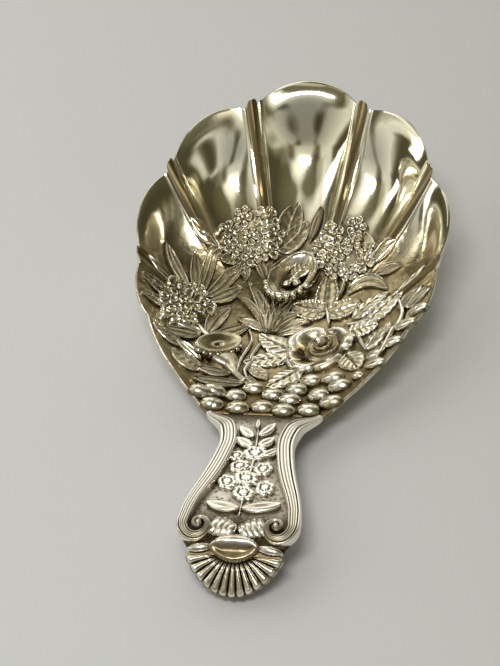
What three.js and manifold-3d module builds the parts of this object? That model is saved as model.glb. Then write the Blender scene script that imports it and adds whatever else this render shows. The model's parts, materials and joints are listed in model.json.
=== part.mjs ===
// Caddy spoon: a fluted scallop bowl dressed with flowers, a berry heel, and a reeded scroll handle.
// Millimetres, +Z up. The bowl lies towards +Y and the handle towards -Y, at rest on the table z = 0.
import * as THREE from 'three';
import Module from 'manifold-3d';

const wasm = await Module();
wasm.setup();
const DEG = Math.PI / 180;

// Bowl: its flutes spread from a hinge point on the floor, and its rim rises from the heel to the far end.
const HINGE_Y = 5.55;
const FLOOR_Z = 0.62;
const FLOOR_FALL = 0.05;
const HEEL_Y = -13.95;
const HEEL_Z = 4.6;
const HEEL_HALF_WIDTH = 8.4;
const RIM_TILT = 16;
const BOWL_WALL = 0.9;
// Angle from the far end, in degrees, and distance from the hinge point to the rim.
const RIM_STATIONS = [[0, 37.8], [13.7, 37.1], [40, 31.3], [71, 23.7], [96, 20.3], [125, 19.1], [143, 19.7]];
const RIB_ANGLES = [13.7, 40, 71];
const SIDE_LOBE_END = 100;
// From the middle flute outwards: how far a lobe swells past its ribs, and how deep its flute is.
const LOBE_BULGES = [3.2, 2.6, 1.7, 1];
const FLUTE_DEPTHS = [2.8, 2.6, 2.2, 1];
// Shares of the way to the rim where a flute begins and is deepest, and the depth that is left at its lip.
const FLUTE_START = 0.35;
const FLUTE_DEEPEST = 0.8;
const FLUTE_END = 0.1;
// How much lower than the lobes the rim lies at a rib.
const RIB_DIP = 0.8;
const ROD_WIDTH = 1.7;
const ROD_HEIGHT = 0.6;
const ROD_TIP = 0.7;
const ROD_START = 0.55;
const ROD_GROWTH = 0.12;

// Handle: a waisted plate that rises a little from the heel and droops at its end.
const HANDLE_RISE = 4;
const HANDLE_THICK = 1.9;
const HANDLE_LENGTH = 27.2;
const DROOP_RUN = 3.2;
const DROOP = 0.065;
// Share of the handle's length, from the heel on, and how much narrower than the heel each side is there.
const EDGE_STATIONS = [[0, 0], [0.11, 2.1], [0.24, 3], [0.37, 2.7], [0.53, 1.8], [0.7, 0.6], [0.83, 0],
  [0.92, 0.2], [1, 1.6]];
const TONGUE_LENGTH = 5;
const TONGUE_ROOT = 2;
const TONGUE_HALF_WIDTH = 4.5;
const TONGUE_THICK = 1.2;
const TONGUE_TAPER = 0.6;

// Trim of the handle. An inset is counted back from the end of the plate.
const BORDER_WIDTH = 2.5;
const BORDER_HEIGHT = 1;
const BORDER_START = 0.6;
const BORDER_INSET = 2.2;
// Heights of the threads and the grooves between them, from the outer edge to the inner one.
const THREADS = [0.5, 1, 0.65, 0.9, 0.65, 0.8, 0.3];
const VOLUTE_SIDE_INSET = 3.05;
const VOLUTE_INSET = 2.5;
const VOLUTE_RADIUS = 2.1;
const VOLUTE_HEIGHT = 1.5;
const VOLUTE_DISH = 0.6;
const VOLUTE_EYE = 0.8;
const CARTOUCHE_PAST_END = 0.7;
const CARTOUCHE_HALF_WIDTH = 3.2;
const CARTOUCHE_HALF_LENGTH = 1.8;
const CARTOUCHE_HEIGHT = 1.3;
const CARTOUCHE_DISH = 0.3;
const FAN_INSET = 2.2;
const FAN_RADIUS = 7.6;
const FAN_HALF_ANGLE = 62;
const FAN_RIBS = 13;
const FAN_RIB_HEIGHT = 0.5;
const FAN_THICK = 1.2;

// Castings soldered on: heights above the surface that they follow, and the film of solder under them.
const SOLDER_GAP = 0.3;
const FACET_TOLERANCE = 0.06;
const ROOT_DEPTH = 0.8;
const LEAF_EDGE = 0.55;
const LEAF_TIP_HALF = 0.15;
const LEAF_RIDGE = 1.1;
const STEM_WIDTH = 0.9;
const STEM_HEIGHT = 0.8;
const FLORET_RADIUS = 1.8;
const FLORET_HEIGHT = 1.3;
const FLORET_PETALS = 5;
const FLORET_DISH = 0.3;
const HANDLE_FLORET_RADIUS = 1.25;
const PETAL_NOTCH = 0.8;
// Rings of a domed boss, as shares of its radius and of its height.
const DOME_RINGS = [[0.55, 0.95], [1, 0.35]];
const DOME_SIDES = 12;
const BEAD_RADII = [1.55, 1.3];
const BEAD_HEIGHT = 1.7;
const BEAD_MAT_HEIGHT = 0.6;
// Half the length of the mat under the berries, its upper edge at the left and the right end, and its
// lower edge in the middle and how much higher that lies at the ends.
const BEAD_MAT_HALF = 10.4;
const BEAD_MAT_LEFT = 6;
const BEAD_MAT_RIGHT = 10.6;
const BEAD_MAT_LOWER = 1.2;
const BEAD_MAT_SAG = 1.6;
// Berries, as [x, distance from the heel].
const BEADS = [[-7.9, 2.3], [-4.1, 1.9], [-0.6, 2.5], [2.5, 1.9], [6.2, 1.9], [9.2, 3.2],
  [-9.9, 3.9], [-5.2, 5], [3, 4.4], [7, 5.6], [10, 6.7], [-8.2, 5.2], [-2.8, 7.4], [0.3, 5.7], [3.6, 7.5],
  [5.3, 9.8], [8.7, 9.4]];

// Castings in the bowl, measured from the hinge point. A leaf is [base, tip, width]; a stem is its route.
const BOWL_CASTINGS = {
  rose: {
    flowers: [
      { at: [6.6, -1.9], radii: [4.3, 4.3], height: 1.6, petals: 6, dished: 0.3 },
      { at: [6.6, -1.9], radii: [3, 3], height: 2.2, petals: 5, dished: 0.3 },
      { at: [6.9, -1.9], radii: [1.6, 1.6], height: 2.7, petals: 4, dished: 0.4 },
    ],
  },
  bell_flower: {
    flowers: [{ at: [-0.2, 14.1], radii: [4.6, 2.8], height: 2.6, petals: 7, dished: 1.6, turn: 36 }],
    leaves: [[[-3.4, 2.5], [-8.6, 8.3], 2], [[-3.2, 2.5], [-7.2, 11.5], 2], [[-3, 2.5], [-4.8, 11.9], 2.2],
      [[-2.8, 2.5], [-2.4, 11.5], 2.4], [[-2.6, 2.5], [-0.4, 9.3], 2], [[-2.4, 2.5], [1.2, 7.7], 1.8]],
  },
  trefoil_leaf: {
    leaves: [[[5.2, 4.9], [5.6, 13.1], 3.6], [[5.6, 5.1], [1.2, 8.1], 3], [[4.8, 5.1], [10.2, 8.3], 3.4]],
  },
  rose_leaves_left: {
    leaves: [[[1.8, -1.1], [-3.4, 1.1], 3.6], [[1.8, -3.9], [-4.8, -4.5], 3.8],
      [[2.8, -6.1], [-1.8, -9.1], 3.4]],
    stems: [[[1.4, -0.5], [0.9, -3.5], [2, -6.5]]],
  },
  rose_leaves_right: {
    leaves: [[[11, -0.1], [14.6, 5.1], 3], [[11.2, -2.5], [16.2, -1.1], 3.4],
      [[10.8, -4.1], [13.2, -8.1], 3.2]],
    stems: [[[11.4, 0.5], [11.5, -2.1], [11.2, -4.7]]],
  },
  upper_right_posy: {
    flowers: [{ at: [7.4, 17.9], radii: [4, 3.6], height: 0.9 }],
    florets: [[7, 18.1], [9, 20.7], [5.4, 20.5], [4, 18.5], [10.8, 16.9], [8.6, 14.9], [6.4, 15.5]],
    leaves: [[[10, 15.5], [15.2, 16.3], 2.2], [[9.6, 14.9], [15, 12.1], 2.4], [[9, 14.5], [12.8, 10.1], 2.2]],
  },
  upper_left_posy: {
    flowers: [{ at: [-7.4, 19.5], radii: [3.4, 3.4], height: 0.9 }],
    florets: [[-7.6, 19.1], [-9, 21.5], [-10.6, 19.5], [-5.8, 21.7], [-5.2, 19.3], [-8, 16.7]],
    leaves: [[[-9.6, 18.1], [-15.8, 18.1], 2.4]],
  },
  centre_leaves: {
    leaves: [[[-2.6, 18.1], [-2, 24.9], 2.6], [[-2.4, 18.9], [1, 24.9], 2.4], [[-1.6, 19.7], [3, 23.1], 1.6]],
  },
  daisy_posy: {
    flowers: [{ at: [-15.2, 3.7], radii: [2.8, 3.4], height: 0.9 }],
    florets: [[-15, 3.5], [-17.2, 1.7], [-13.2, 4.9], [-14.6, 7.1], [-16.8, 5.1], [-15, 1.3]],
    leaves: [[[-15, 6.5], [-15.6, 12.9], 2.4], [[-14.4, 6.5], [-11.8, 14.9], 2.4],
      [[-13.6, 5.5], [-9.2, 12.5], 2.2], [[-16.6, 3.1], [-20.6, 5.1], 2], [[-16.6, 5.3], [-19.2, 11.1], 2.4]],
  },
  trumpet_flower: {
    flowers: [{ at: [-10, -3.1], radii: [3.4, 2], height: 1.6, petals: 6, dished: 0.7, turn: 40 }],
    leaves: [[[-11, -2.3], [-9.6, 5.5], 2], [[-10.4, -2.5], [-6.9, 2.9], 2],
      [[-11.4, -2.7], [-16.4, -4.5], 2.2], [[-11.2, -2.5], [-15, -1.1], 1.8]],
    stems: [[[-9.6, -3.7], [-8, -6.1], [-6.6, -6.9]],
      [[-5.4, 1.3], [-6.4, -1.9], [-6.2, -4.9], [-6.9, -7.1]]],
  },
  lower_left_leaves: {
    leaves: [[[-8.4, -8.3], [-14, -7.7], 2.6], [[-8.2, -9.1], [-13, -11.5], 2.4],
      [[-7.6, -8.7], [-3.2, -8.9], 2.4]],
    stems: [[[-7.4, -8.7], [-8.4, -8.7], [-9.6, -8.9]]],
  },
  right_leaf_spray: {
    leaves: [[[16.6, -6.9], [13.8, -10.1], 2.4], [[17, -5.1], [14.8, -4.9], 2], [[17.4, -4.1], [20, -1.7], 2],
      [[18.2, -0.5], [21.2, 1.9], 2], [[18.2, 1.5], [15.8, 3.7], 2], [[18.2, 4.5], [20.8, 6.9], 2]],
    stems: [[[15.4, -9.1], [17, -5.5], [18, -1.5], [18.4, 2.5], [18.2, 6.5]]],
  },
};

// Flower spray on the handle's panel, as [x, share of the handle's length from the heel on].
const HANDLE_SPRAY = {
  florets: [[0, 0.33], [-0.4, 0.53], [-0.4, 0.64], [-3, 0.565], [2.5, 0.59], [1.5, 0.45], [-2, 0.44]],
  leaves: [[[-0.3, 0.24], [-2, 0.145], 1.2], [[-0.3, 0.24], [1, 0.13], 1.2],
    [[-0.3, 0.185], [-0.4, 0.075], 1.2], [[-0.2, 0.31], [-2.2, 0.235], 1.2], [[-0.2, 0.31], [1.4, 0.23], 1.2],
    [[-0.2, 0.755], [-4.8, 0.735], 1.8], [[-0.2, 0.755], [5, 0.72], 1.8]],
  stems: [[[-0.2, 0.785], [-0.2, 0.59], [0, 0.37], [-0.3, 0.145]], [[-0.4, 0.55], [-3, 0.565]],
    [[-0.4, 0.55], [2.5, 0.59]], [[0, 0.44], [1.5, 0.45]], [[0, 0.44], [-2, 0.44]]],
};

// Right-hand acanthus leaflets, measured from the volute's level; the left-hand ones mirror them.
const ACANTHUS = {
  leaves: [[[2.6, -0.6], [0.5, 0.4], 1.6], [[2.6, -0.6], [1, 1.8], 1.6], [[2.6, -0.6], [2.4, 2.2], 1.4]],
};

const WARM_SILVER = { color: 0xc9bfa2, roughness: 0.22, metalness: 1 };
const WHITE_SILVER = { color: 0xd6d3cb, roughness: 0.28, metalness: 1 };
const DARK_SILVER = { color: 0x9a9588, roughness: 0.45, metalness: 1 };

// A smooth curve through [position, value] stations.
function spline(stations, at) {
  const last = stations.length - 1;
  const slope = (i) => {
    if (i === 0) return 0;
    const next = stations[Math.min(i + 1, last)];
    const before = stations[i - 1];
    return (next[1] - before[1]) / (next[0] - before[0]);
  };
  let i = 0;
  while (i < last - 1 && at > stations[i + 1][0]) i += 1;
  const span = stations[i + 1][0] - stations[i][0];
  const u = Math.min(1, Math.max(0, (at - stations[i][0]) / span));
  const rise = u * u * (3 - 2 * u);
  return stations[i][1] * (1 - rise) + stations[i + 1][1] * rise
    + span * (slope(i) * u * (1 - u) * (1 - u) - slope(i + 1) * u * u * (1 - u));
}

function smoothStep(from, to, at) {
  const u = Math.min(1, Math.max(0, (at - from) / (to - from)));
  return u * u * (3 - 2 * u);
}

// Bowl surface
const HEEL_REACH = HINGE_Y - HEEL_Y;
const HEEL_ANGLE = Math.atan2(HEEL_HALF_WIDTH, -HEEL_REACH) / DEG;
const RIM_CURVE = [...RIM_STATIONS, [HEEL_ANGLE, Math.hypot(HEEL_HALF_WIDTH, HEEL_REACH)]];
const LOBE_EDGES = [-RIB_ANGLES[0], ...RIB_ANGLES, SIDE_LOBE_END];

function rimRadius(angle) {
  const a = Math.abs(angle);
  return a <= HEEL_ANGLE ? spline(RIM_CURVE, a) : -HEEL_REACH / Math.cos(a * DEG);
}

// How far the angle lies into a lobe, as a hump that is 1 in its middle and 0 at its ribs.
function lobeHump(angle, sizes) {
  const a = Math.abs(angle);
  for (let k = 0; k < sizes.length; k += 1) {
    const u = (a - LOBE_EDGES[k]) / (LOBE_EDGES[k + 1] - LOBE_EDGES[k]);
    if (u >= 0 && u <= 1) return sizes[k] * 4 * u * (1 - u);
  }
  return 0;
}

function rodHalfAngle(rib) {
  return Math.asin(ROD_WIDTH / 2 / rimRadius(rib)) / DEG;
}

// 1 along the top of a rib's rod and 0 beside it.
function rodCrown(angle) {
  const a = Math.abs(angle);
  for (const rib of RIB_ANGLES) {
    const q = (a - rib) / rodHalfAngle(rib);
    if (Math.abs(q) < 1) return Math.sqrt(1 - q * q);
  }
  return 0;
}

function polar(x, y) {
  return { r: Math.hypot(x, y - HINGE_Y), angle: Math.atan2(x, y - HINGE_Y) / DEG };
}

function lobeRadius(angle) {
  return rimRadius(angle) + lobeHump(angle, LOBE_BULGES);
}

// The rim lies in a tilted plane, and dips at the ribs.
function rimHeight(angle) {
  const y = HINGE_Y + lobeRadius(angle) * Math.cos(angle * DEG);
  const ribbed = 1 - smoothStep(RIB_ANGLES[RIB_ANGLES.length - 1], SIDE_LOBE_END, Math.abs(angle));
  const dip = RIB_DIP * ribbed * (1 - lobeHump(angle, LOBE_BULGES.map(() => 1)));
  return HEEL_Z + Math.tan(RIM_TILT * DEG) * Math.max(0, y - HEEL_Y) - dip;
}

// Height of the bowl's inside without the rods.
function dishHeight(x, y) {
  const { r, angle } = polar(x, y);
  const reach = lobeRadius(angle);
  const t = r / reach;
  const fall = -FLOOR_FALL * Math.cos(angle * DEG);
  const rise = rimHeight(angle) - FLOOR_Z - fall * reach;
  const deep = smoothStep(FLUTE_START, FLUTE_DEEPEST, t) - (1 - FLUTE_END) * smoothStep(FLUTE_DEEPEST, 1, t);
  return FLOOR_Z + fall * r + rise * t * t - lobeHump(angle, FLUTE_DEPTHS) * deep;
}

function bowlHeight(x, y) {
  const { r, angle } = polar(x, y);
  const grown = smoothStep(ROD_START, ROD_START + ROD_GROWTH, r / rimRadius(angle));
  return dishHeight(x, y) + ROD_HEIGHT * rodCrown(angle) * grown;
}

// Height that a thickness square to the bowl takes up along z.
function upright(x, y, thickness) {
  const step = 0.2;
  const sx = (dishHeight(x + step, y) - dishHeight(x - step, y)) / (2 * step);
  const sy = (dishHeight(x, y + step) - dishHeight(x, y - step)) / (2 * step);
  return thickness * Math.sqrt(1 + sx * sx + sy * sy);
}

function bowlUnder(x, y) {
  return Math.max(0, dishHeight(x, y) - upright(x, y, BOWL_WALL));
}

// Handle surface, by the distance s from the heel.
const DROOP_START = HANDLE_LENGTH - DROOP_RUN;
const BORDER_END = HANDLE_LENGTH - BORDER_INSET;
const VOLUTE_S = HANDLE_LENGTH - VOLUTE_INSET;
const CARTOUCHE_S = HANDLE_LENGTH + CARTOUCHE_PAST_END;
const FAN_CENTRE_S = HANDLE_LENGTH - FAN_INSET;
const VOLUTE_X = HEEL_HALF_WIDTH - VOLUTE_SIDE_INSET;
const EDGE_CURVE = EDGE_STATIONS.map(([share, inset]) => [share * HANDLE_LENGTH, HEEL_HALF_WIDTH - inset]);

function handleHeight(x, y) {
  const s = HEEL_Y - y;
  const past = Math.max(0, s - DROOP_START);
  return HEEL_Z + Math.tan(HANDLE_RISE * DEG) * Math.min(s, DROOP_START) - DROOP * past * past;
}

// Closed solids
function solid(points, faces) {
  const mesh = new wasm.Mesh({
    numProp: 3,
    vertProperties: new Float32Array(points.flat()),
    triVerts: new Uint32Array(faces.flat()),
  });
  return new wasm.Manifold(mesh);
}

// A slab between two grids of the same rows and columns, with walls round its edge.
function slab(top, under) {
  const rows = top.length;
  const columns = top[0].length;
  const points = [...top.flat(), ...under.flat()];
  const low = rows * columns;
  const at = (i, j) => i * columns + j;
  const faces = [];
  const quad = (a, b, c, d) => faces.push([a, b, c], [a, c, d]);
  for (let i = 0; i < rows - 1; i += 1) {
    for (let j = 0; j < columns - 1; j += 1) {
      quad(at(i, j), at(i, j + 1), at(i + 1, j + 1), at(i + 1, j));
      quad(low + at(i, j), low + at(i + 1, j), low + at(i + 1, j + 1), low + at(i, j + 1));
    }
  }
  const edge = [];
  for (let j = 0; j < columns - 1; j += 1) edge.push(at(0, j));
  for (let i = 0; i < rows - 1; i += 1) edge.push(at(i, columns - 1));
  for (let j = columns - 1; j > 0; j -= 1) edge.push(at(rows - 1, j));
  for (let i = rows - 1; i > 0; i -= 1) edge.push(at(i, 0));
  edge.forEach((a, k) => {
    const b = edge[(k + 1) % edge.length];
    quad(b, a, low + a, low + b);
  });
  const shape = solid(points, faces);
  return shape.volume() >= 0 ? shape : solid(points, faces.map(([a, b, c]) => [a, c, b]));
}

// A dish between two sets of closed rings, each with a pole in the middle.
function dish(topPole, topRings, underPole, underRings) {
  const count = topRings[0].length;
  const points = [topPole, underPole, ...topRings.flat(), ...underRings.flat()];
  const low = topRings.length * count;
  const at = (i, j) => 2 + i * count + (j % count);
  const faces = [];
  for (let j = 0; j < count; j += 1) {
    faces.push([0, at(0, j), at(0, j + 1)], [1, low + at(0, j + 1), low + at(0, j)]);
    for (let i = 0; i < topRings.length - 1; i += 1) {
      const [a, b, c, d] = [at(i, j), at(i + 1, j), at(i + 1, j + 1), at(i, j + 1)];
      faces.push([a, b, c], [a, c, d], [low + a, low + c, low + b], [low + a, low + d, low + c]);
    }
    const [a, b] = [at(topRings.length - 1, j), at(topRings.length - 1, j + 1)];
    faces.push([a, low + a, low + b], [a, low + b, b]);
  }
  const shape = solid(points, faces);
  return shape.volume() >= 0 ? shape : solid(points, faces.map(([a, b, c]) => [a, c, b]));
}

function join(shapes) {
  return shapes.reduce((sum, shape) => sum.add(shape));
}

// The largest body of a shape, which is all of it unless a cut took a corner off.
function mainBody(shape) {
  const bodies = shape.simplify(FACET_TOLERANCE).decompose();
  return bodies.reduce((best, body) => (body.volume() > best.volume() ? body : best));
}

// Bowl
function bowlAngles() {
  const steps = [];
  const run = (from, to, count) => {
    for (let i = 1; i <= count; i += 1) steps.push(from + ((to - from) * i) / count);
  };
  let from = 0;
  RIB_ANGLES.forEach((rib, k) => {
    const half = rodHalfAngle(rib);
    run(from, rib - half, k === 0 ? 3 : 5);
    run(rib - half, rib + half, 2);
    from = rib + half;
  });
  run(from, SIDE_LOBE_END, 4);
  run(SIDE_LOBE_END, HEEL_ANGLE, 5);
  run(HEEL_ANGLE, 180, 3);
  const mirrored = steps.slice(0, -1).reverse().map((angle) => -angle);
  return [...mirrored, 0, ...steps];
}

const BOWL_ROWS = [0.17, 0.34, 0.48, 0.6, 0.71, 0.82, 0.92, 1];

function bowlRings(height) {
  return BOWL_ROWS.map((part) => bowlAngles().map((angle) => {
    const r = part * (lobeRadius(angle) + ROD_TIP * rodCrown(angle));
    const x = r * Math.sin(angle * DEG);
    const y = HINGE_Y + r * Math.cos(angle * DEG);
    return [x, y, height(x, y)];
  }));
}

function bowlBetween(upper, lower) {
  const pole = (height) => [0, HINGE_Y, height(0, HINGE_Y)];
  return dish(pole(upper), bowlRings(upper), pole(lower), bowlRings(lower));
}

const bowl = bowlBetween(bowlHeight, bowlUnder);
const bowlSeat = bowlBetween(
  (x, y) => bowlHeight(x, y) + upright(x, y, SOLDER_GAP),
  (x, y) => bowlHeight(x, y) - HEEL_Z,
);

// Handle plate, with a tongue that laps under the heel of the bowl
function stepsBetween(from, to, count) {
  return Array.from({ length: count + 1 }, (_, i) => from + ((to - from) * i) / count);
}

function handlePlate(lift, depth) {
  const grid = (height) => stepsBetween(SOLDER_GAP, HANDLE_LENGTH, 18).map((s) => {
    const half = spline(EDGE_CURVE, s);
    return stepsBetween(-half, half, 4).map((x) => [x, HEEL_Y - s, height(x, HEEL_Y - s)]);
  });
  return slab(grid((x, y) => handleHeight(x, y) + lift), grid((x, y) => handleHeight(x, y) - depth));
}

function handleTongue() {
  const top = (x, y) => bowlUnder(x, Math.max(y, HEEL_Y)) - upright(x, y, SOLDER_GAP);
  const grid = (drop) => stepsBetween(-TONGUE_ROOT, TONGUE_LENGTH, 7).map((reach) => {
    const taper = 1 - TONGUE_TAPER * Math.max(0, reach / TONGUE_LENGTH) ** 2;
    const half = TONGUE_HALF_WIDTH * taper;
    const y = HEEL_Y + reach;
    return stepsBetween(-half, half, 4).map((x) => [x, y, top(x, y) - drop * taper]);
  });
  return slab(grid(0), grid(TONGUE_THICK));
}

const handle = handlePlate(0, HANDLE_THICK).add(handleTongue());
const handleSeat = handlePlate(SOLDER_GAP, HANDLE_THICK);

// Castings that follow a surface: `over` is that surface's height, and `grow` makes a cutter for neighbours.
function leaf(over, [bx, by], [tx, ty], width, grow = 0) {
  const length = Math.hypot(tx - bx, ty - by);
  const [ux, uy] = [(tx - bx) / length, (ty - by) / length];
  const grid = (heights) => stepsBetween(0, 1, 6).map((u) => {
    const along = -grow + u * (length + 2 * grow);
    const half = LEAF_TIP_HALF + grow + (width / 2) * Math.sin(Math.PI * u ** 0.8);
    return [-1, 0, 1].map((side, j) => {
      const x = bx + ux * along - uy * half * side;
      const y = by + uy * along + ux * half * side;
      return [x, y, over(x, y) + heights[j]];
    });
  });
  const edge = LEAF_EDGE + grow;
  return slab(grid([edge, LEAF_RIDGE + grow, edge]), grid([-ROOT_DEPTH, -ROOT_DEPTH, -ROOT_DEPTH]));
}

function stem(over, route, grow = 0) {
  const half = STEM_WIDTH / 2 + grow;
  const grid = (height) => route.map(([x, y], i) => {
    const [px, py] = route[Math.max(0, i - 1)];
    const [nx, ny] = route[Math.min(route.length - 1, i + 1)];
    const length = Math.hypot(nx - px, ny - py);
    return [-1, 1].map((side) => {
      const sx = x - (side * half * (ny - py)) / length;
      const sy = y + (side * half * (nx - px)) / length;
      return [sx, sy, over(sx, sy) + height];
    });
  });
  return slab(grid(STEM_HEIGHT + grow), grid(-ROOT_DEPTH));
}

// A domed flower or boss. Petals notch its edge, and its crown may be dished.
function boss(over, { at, radii, height, petals = 0, dished = 0, turn = 0 }, grow = 0) {
  const sides = petals ? petals * 2 : DOME_SIDES;
  const [cosine, sine] = [Math.cos(turn * DEG), Math.sin(turn * DEG)];
  const [cx, cy] = at;
  const ring = (part, lift) => Array.from({ length: sides }, (_, j) => {
    const a = (j / sides) * 2 * Math.PI;
    const notch = petals && j % 2 ? PETAL_NOTCH : 1;
    const u = (radii[0] * notch + grow) * part * Math.cos(a);
    const v = (radii[1] * notch + grow) * part * Math.sin(a);
    const [x, y] = [cx + u * cosine - v * sine, cy + u * sine + v * cosine];
    return [x, y, over(x, y) + lift];
  });
  const crown = [cx, cy, over(cx, cy) + height - dished + grow];
  return dish(crown, DOME_RINGS.map(([part, share]) => ring(part, height * share + grow)),
    [cx, cy, over(cx, cy) - ROOT_DEPTH], DOME_RINGS.map(([part]) => ring(part, -ROOT_DEPTH)));
}

// All that a casting's plan names, laid out from `origin`. `mirror` is -1 for a left-hand copy, and
// `along` is the length of y that the plan counts as 1.
function casting(over, plan, { origin, floretRadius = FLORET_RADIUS, mirror = 1, along = 1, grow = 0 }) {
  const place = ([x, y]) => [mirror * x, origin + y * along];
  const floret = {
    radii: [floretRadius, floretRadius],
    height: FLORET_HEIGHT,
    petals: FLORET_PETALS,
    dished: FLORET_DISH,
  };
  return join([
    ...(plan.flowers ?? []).map((flower) => boss(over, { ...flower, at: place(flower.at) }, grow)),
    ...(plan.florets ?? []).map((spot) => boss(over, { ...floret, at: place(spot) }, grow)),
    ...(plan.leaves ?? []).map(([base, tip, width]) => leaf(over, place(base), place(tip), width, grow)),
    ...(plan.stems ?? []).map((route) => stem(over, route.map(place), grow)),
  ]);
}

// Berries on the mat that joins them.
function beadBorder(over, grow) {
  const upper = (x) => {
    const share = (x + BEAD_MAT_HALF) / (2 * BEAD_MAT_HALF);
    return BEAD_MAT_LEFT + (BEAD_MAT_RIGHT - BEAD_MAT_LEFT) * share;
  };
  const lower = (x) => BEAD_MAT_LOWER + BEAD_MAT_SAG * (x / BEAD_MAT_HALF) ** 2;
  const grid = (lift) => stepsBetween(0, 1, 4).map((u) => (
    stepsBetween(-BEAD_MAT_HALF, BEAD_MAT_HALF, 8).map((x) => {
      const y = HEEL_Y + lower(x) - grow + u * (upper(x) - lower(x) + 2 * grow);
      return [x, y, over(x, y) + lift];
    })));
  const mat = slab(grid(BEAD_MAT_HEIGHT + grow), grid(-ROOT_DEPTH));
  const beads = BEADS.map(([x, reach]) => (
    boss(over, { at: [x, HEEL_Y + reach], radii: BEAD_RADII, height: BEAD_HEIGHT }, grow)));
  return join([mat, ...beads]);
}

// Each casting is fused, seated on what carries it, and clear of the castings made before it.
function castOn(seat, makers) {
  const done = {};
  let taken = seat;
  for (const [name, make] of Object.entries(makers)) {
    done[name] = mainBody(make(0).subtract(taken));
    taken = taken.add(make(SOLDER_GAP));
  }
  return done;
}

function castInBowl() {
  const makers = { bead_border: (grow) => beadBorder(bowlHeight, grow) };
  for (const [name, plan] of Object.entries(BOWL_CASTINGS)) {
    makers[name] = (grow) => casting(bowlHeight, plan, { origin: HINGE_Y, grow });
  }
  return castOn(bowlSeat, makers);
}

// Trim of the handle
function scrollBorder(side, grow) {
  const grid = (height) => stepsBetween(BORDER_START - grow, BORDER_END + grow, 18).map((s) => {
    const outer = spline(EDGE_CURVE, s) + grow;
    return THREADS.map((share, j) => {
      const x = side * (outer - ((BORDER_WIDTH + 2 * grow) * j) / (THREADS.length - 1));
      return [x, HEEL_Y - s, handleHeight(x, HEEL_Y - s) + height(share)];
    });
  });
  const strip = slab(grid((share) => SOLDER_GAP + BORDER_HEIGHT * share + grow), grid(() => SOLDER_GAP));
  const at = [side * VOLUTE_X, HEEL_Y - VOLUTE_S];
  const curl = { at, radii: [VOLUTE_RADIUS, VOLUTE_RADIUS], height: VOLUTE_HEIGHT, dished: VOLUTE_DISH };
  const eye = { at, radii: [VOLUTE_EYE, VOLUTE_EYE], height: VOLUTE_HEIGHT };
  return join([strip, boss(handleHeight, curl, grow), boss(handleHeight, eye, grow)]);
}

function acanthusLeaf(side, grow) {
  return casting(handleHeight, ACANTHUS, { origin: HEEL_Y - VOLUTE_S, mirror: side, grow });
}

function handleSpray(grow) {
  const layout = { origin: HEEL_Y, along: -HANDLE_LENGTH, floretRadius: HANDLE_FLORET_RADIUS, grow };
  return casting(handleHeight, HANDLE_SPRAY, layout);
}

function fanShell(lift, depth) {
  const columns = FAN_RIBS * 2;
  const start = HANDLE_LENGTH + SOLDER_GAP - FAN_CENTRE_S;
  const grid = (height) => stepsBetween(0, 1, 5).map((u) => (
    stepsBetween(-FAN_HALF_ANGLE, FAN_HALF_ANGLE, columns).map((angle, j) => {
      const inner = start / Math.cos(angle * DEG);
      const r = inner + (FAN_RADIUS - inner) * u;
      const x = r * Math.sin(angle * DEG);
      const y = HEEL_Y - FAN_CENTRE_S - r * Math.cos(angle * DEG);
      const ridge = (j % 2) * FAN_RIB_HEIGHT * Math.min(1, u * 2);
      return [x, y, handleHeight(x, y) + height(ridge)];
    })));
  return slab(grid((ridge) => ridge + lift), grid(() => -depth));
}

function cartouche(grow) {
  const oval = {
    at: [0, HEEL_Y - CARTOUCHE_S],
    radii: [CARTOUCHE_HALF_WIDTH, CARTOUCHE_HALF_LENGTH],
    height: CARTOUCHE_HEIGHT,
    dished: CARTOUCHE_DISH,
  };
  return boss(handleHeight, oval, grow);
}

function castOnHandle() {
  const makers = { cartouche };
  for (const [word, side] of [['left', -1], ['right', 1]]) {
    makers[`${word}_scroll_border`] = (grow) => scrollBorder(side, grow);
    makers[`${word}_acanthus_leaf`] = (grow) => acanthusLeaf(side, grow);
  }
  makers.handle_spray = handleSpray;
  return castOn(handleSeat.add(fanShell(SOLDER_GAP, FAN_THICK)), makers);
}

// Scene
function node(name, shape, finish) {
  const { vertProperties, triVerts } = shape.getMesh();
  const geometry = new THREE.BufferGeometry();
  geometry.setAttribute('position', new THREE.BufferAttribute(new Float32Array(vertProperties), 3));
  geometry.setIndex(new THREE.BufferAttribute(new Uint32Array(triVerts), 1));
  geometry.computeVertexNormals();
  const mesh = new THREE.Mesh(geometry, new THREE.MeshStandardMaterial(finish));
  mesh.name = name;
  return mesh;
}

const spoon = new THREE.Group();
spoon.name = 'caddy_spoon';
spoon.add(node('bowl', bowl, WARM_SILVER));
for (const [name, shape] of Object.entries(castInBowl())) {
  spoon.add(node(name, shape, WARM_SILVER));
}
spoon.add(node('handle', handle, DARK_SILVER));
spoon.add(node('terminal_shell', fanShell(0, FAN_THICK), WHITE_SILVER));
for (const [name, shape] of Object.entries(castOnHandle())) {
  spoon.add(node(name, shape, WHITE_SILVER));
}

export default spoon;
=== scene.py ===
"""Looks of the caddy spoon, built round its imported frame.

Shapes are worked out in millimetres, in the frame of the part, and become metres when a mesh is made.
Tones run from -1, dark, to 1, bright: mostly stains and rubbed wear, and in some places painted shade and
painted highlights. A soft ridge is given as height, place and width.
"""

import json
import math
from typing import NamedTuple

import bmesh
import bpy
import numpy as np
from mathutils import Matrix, Vector


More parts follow.
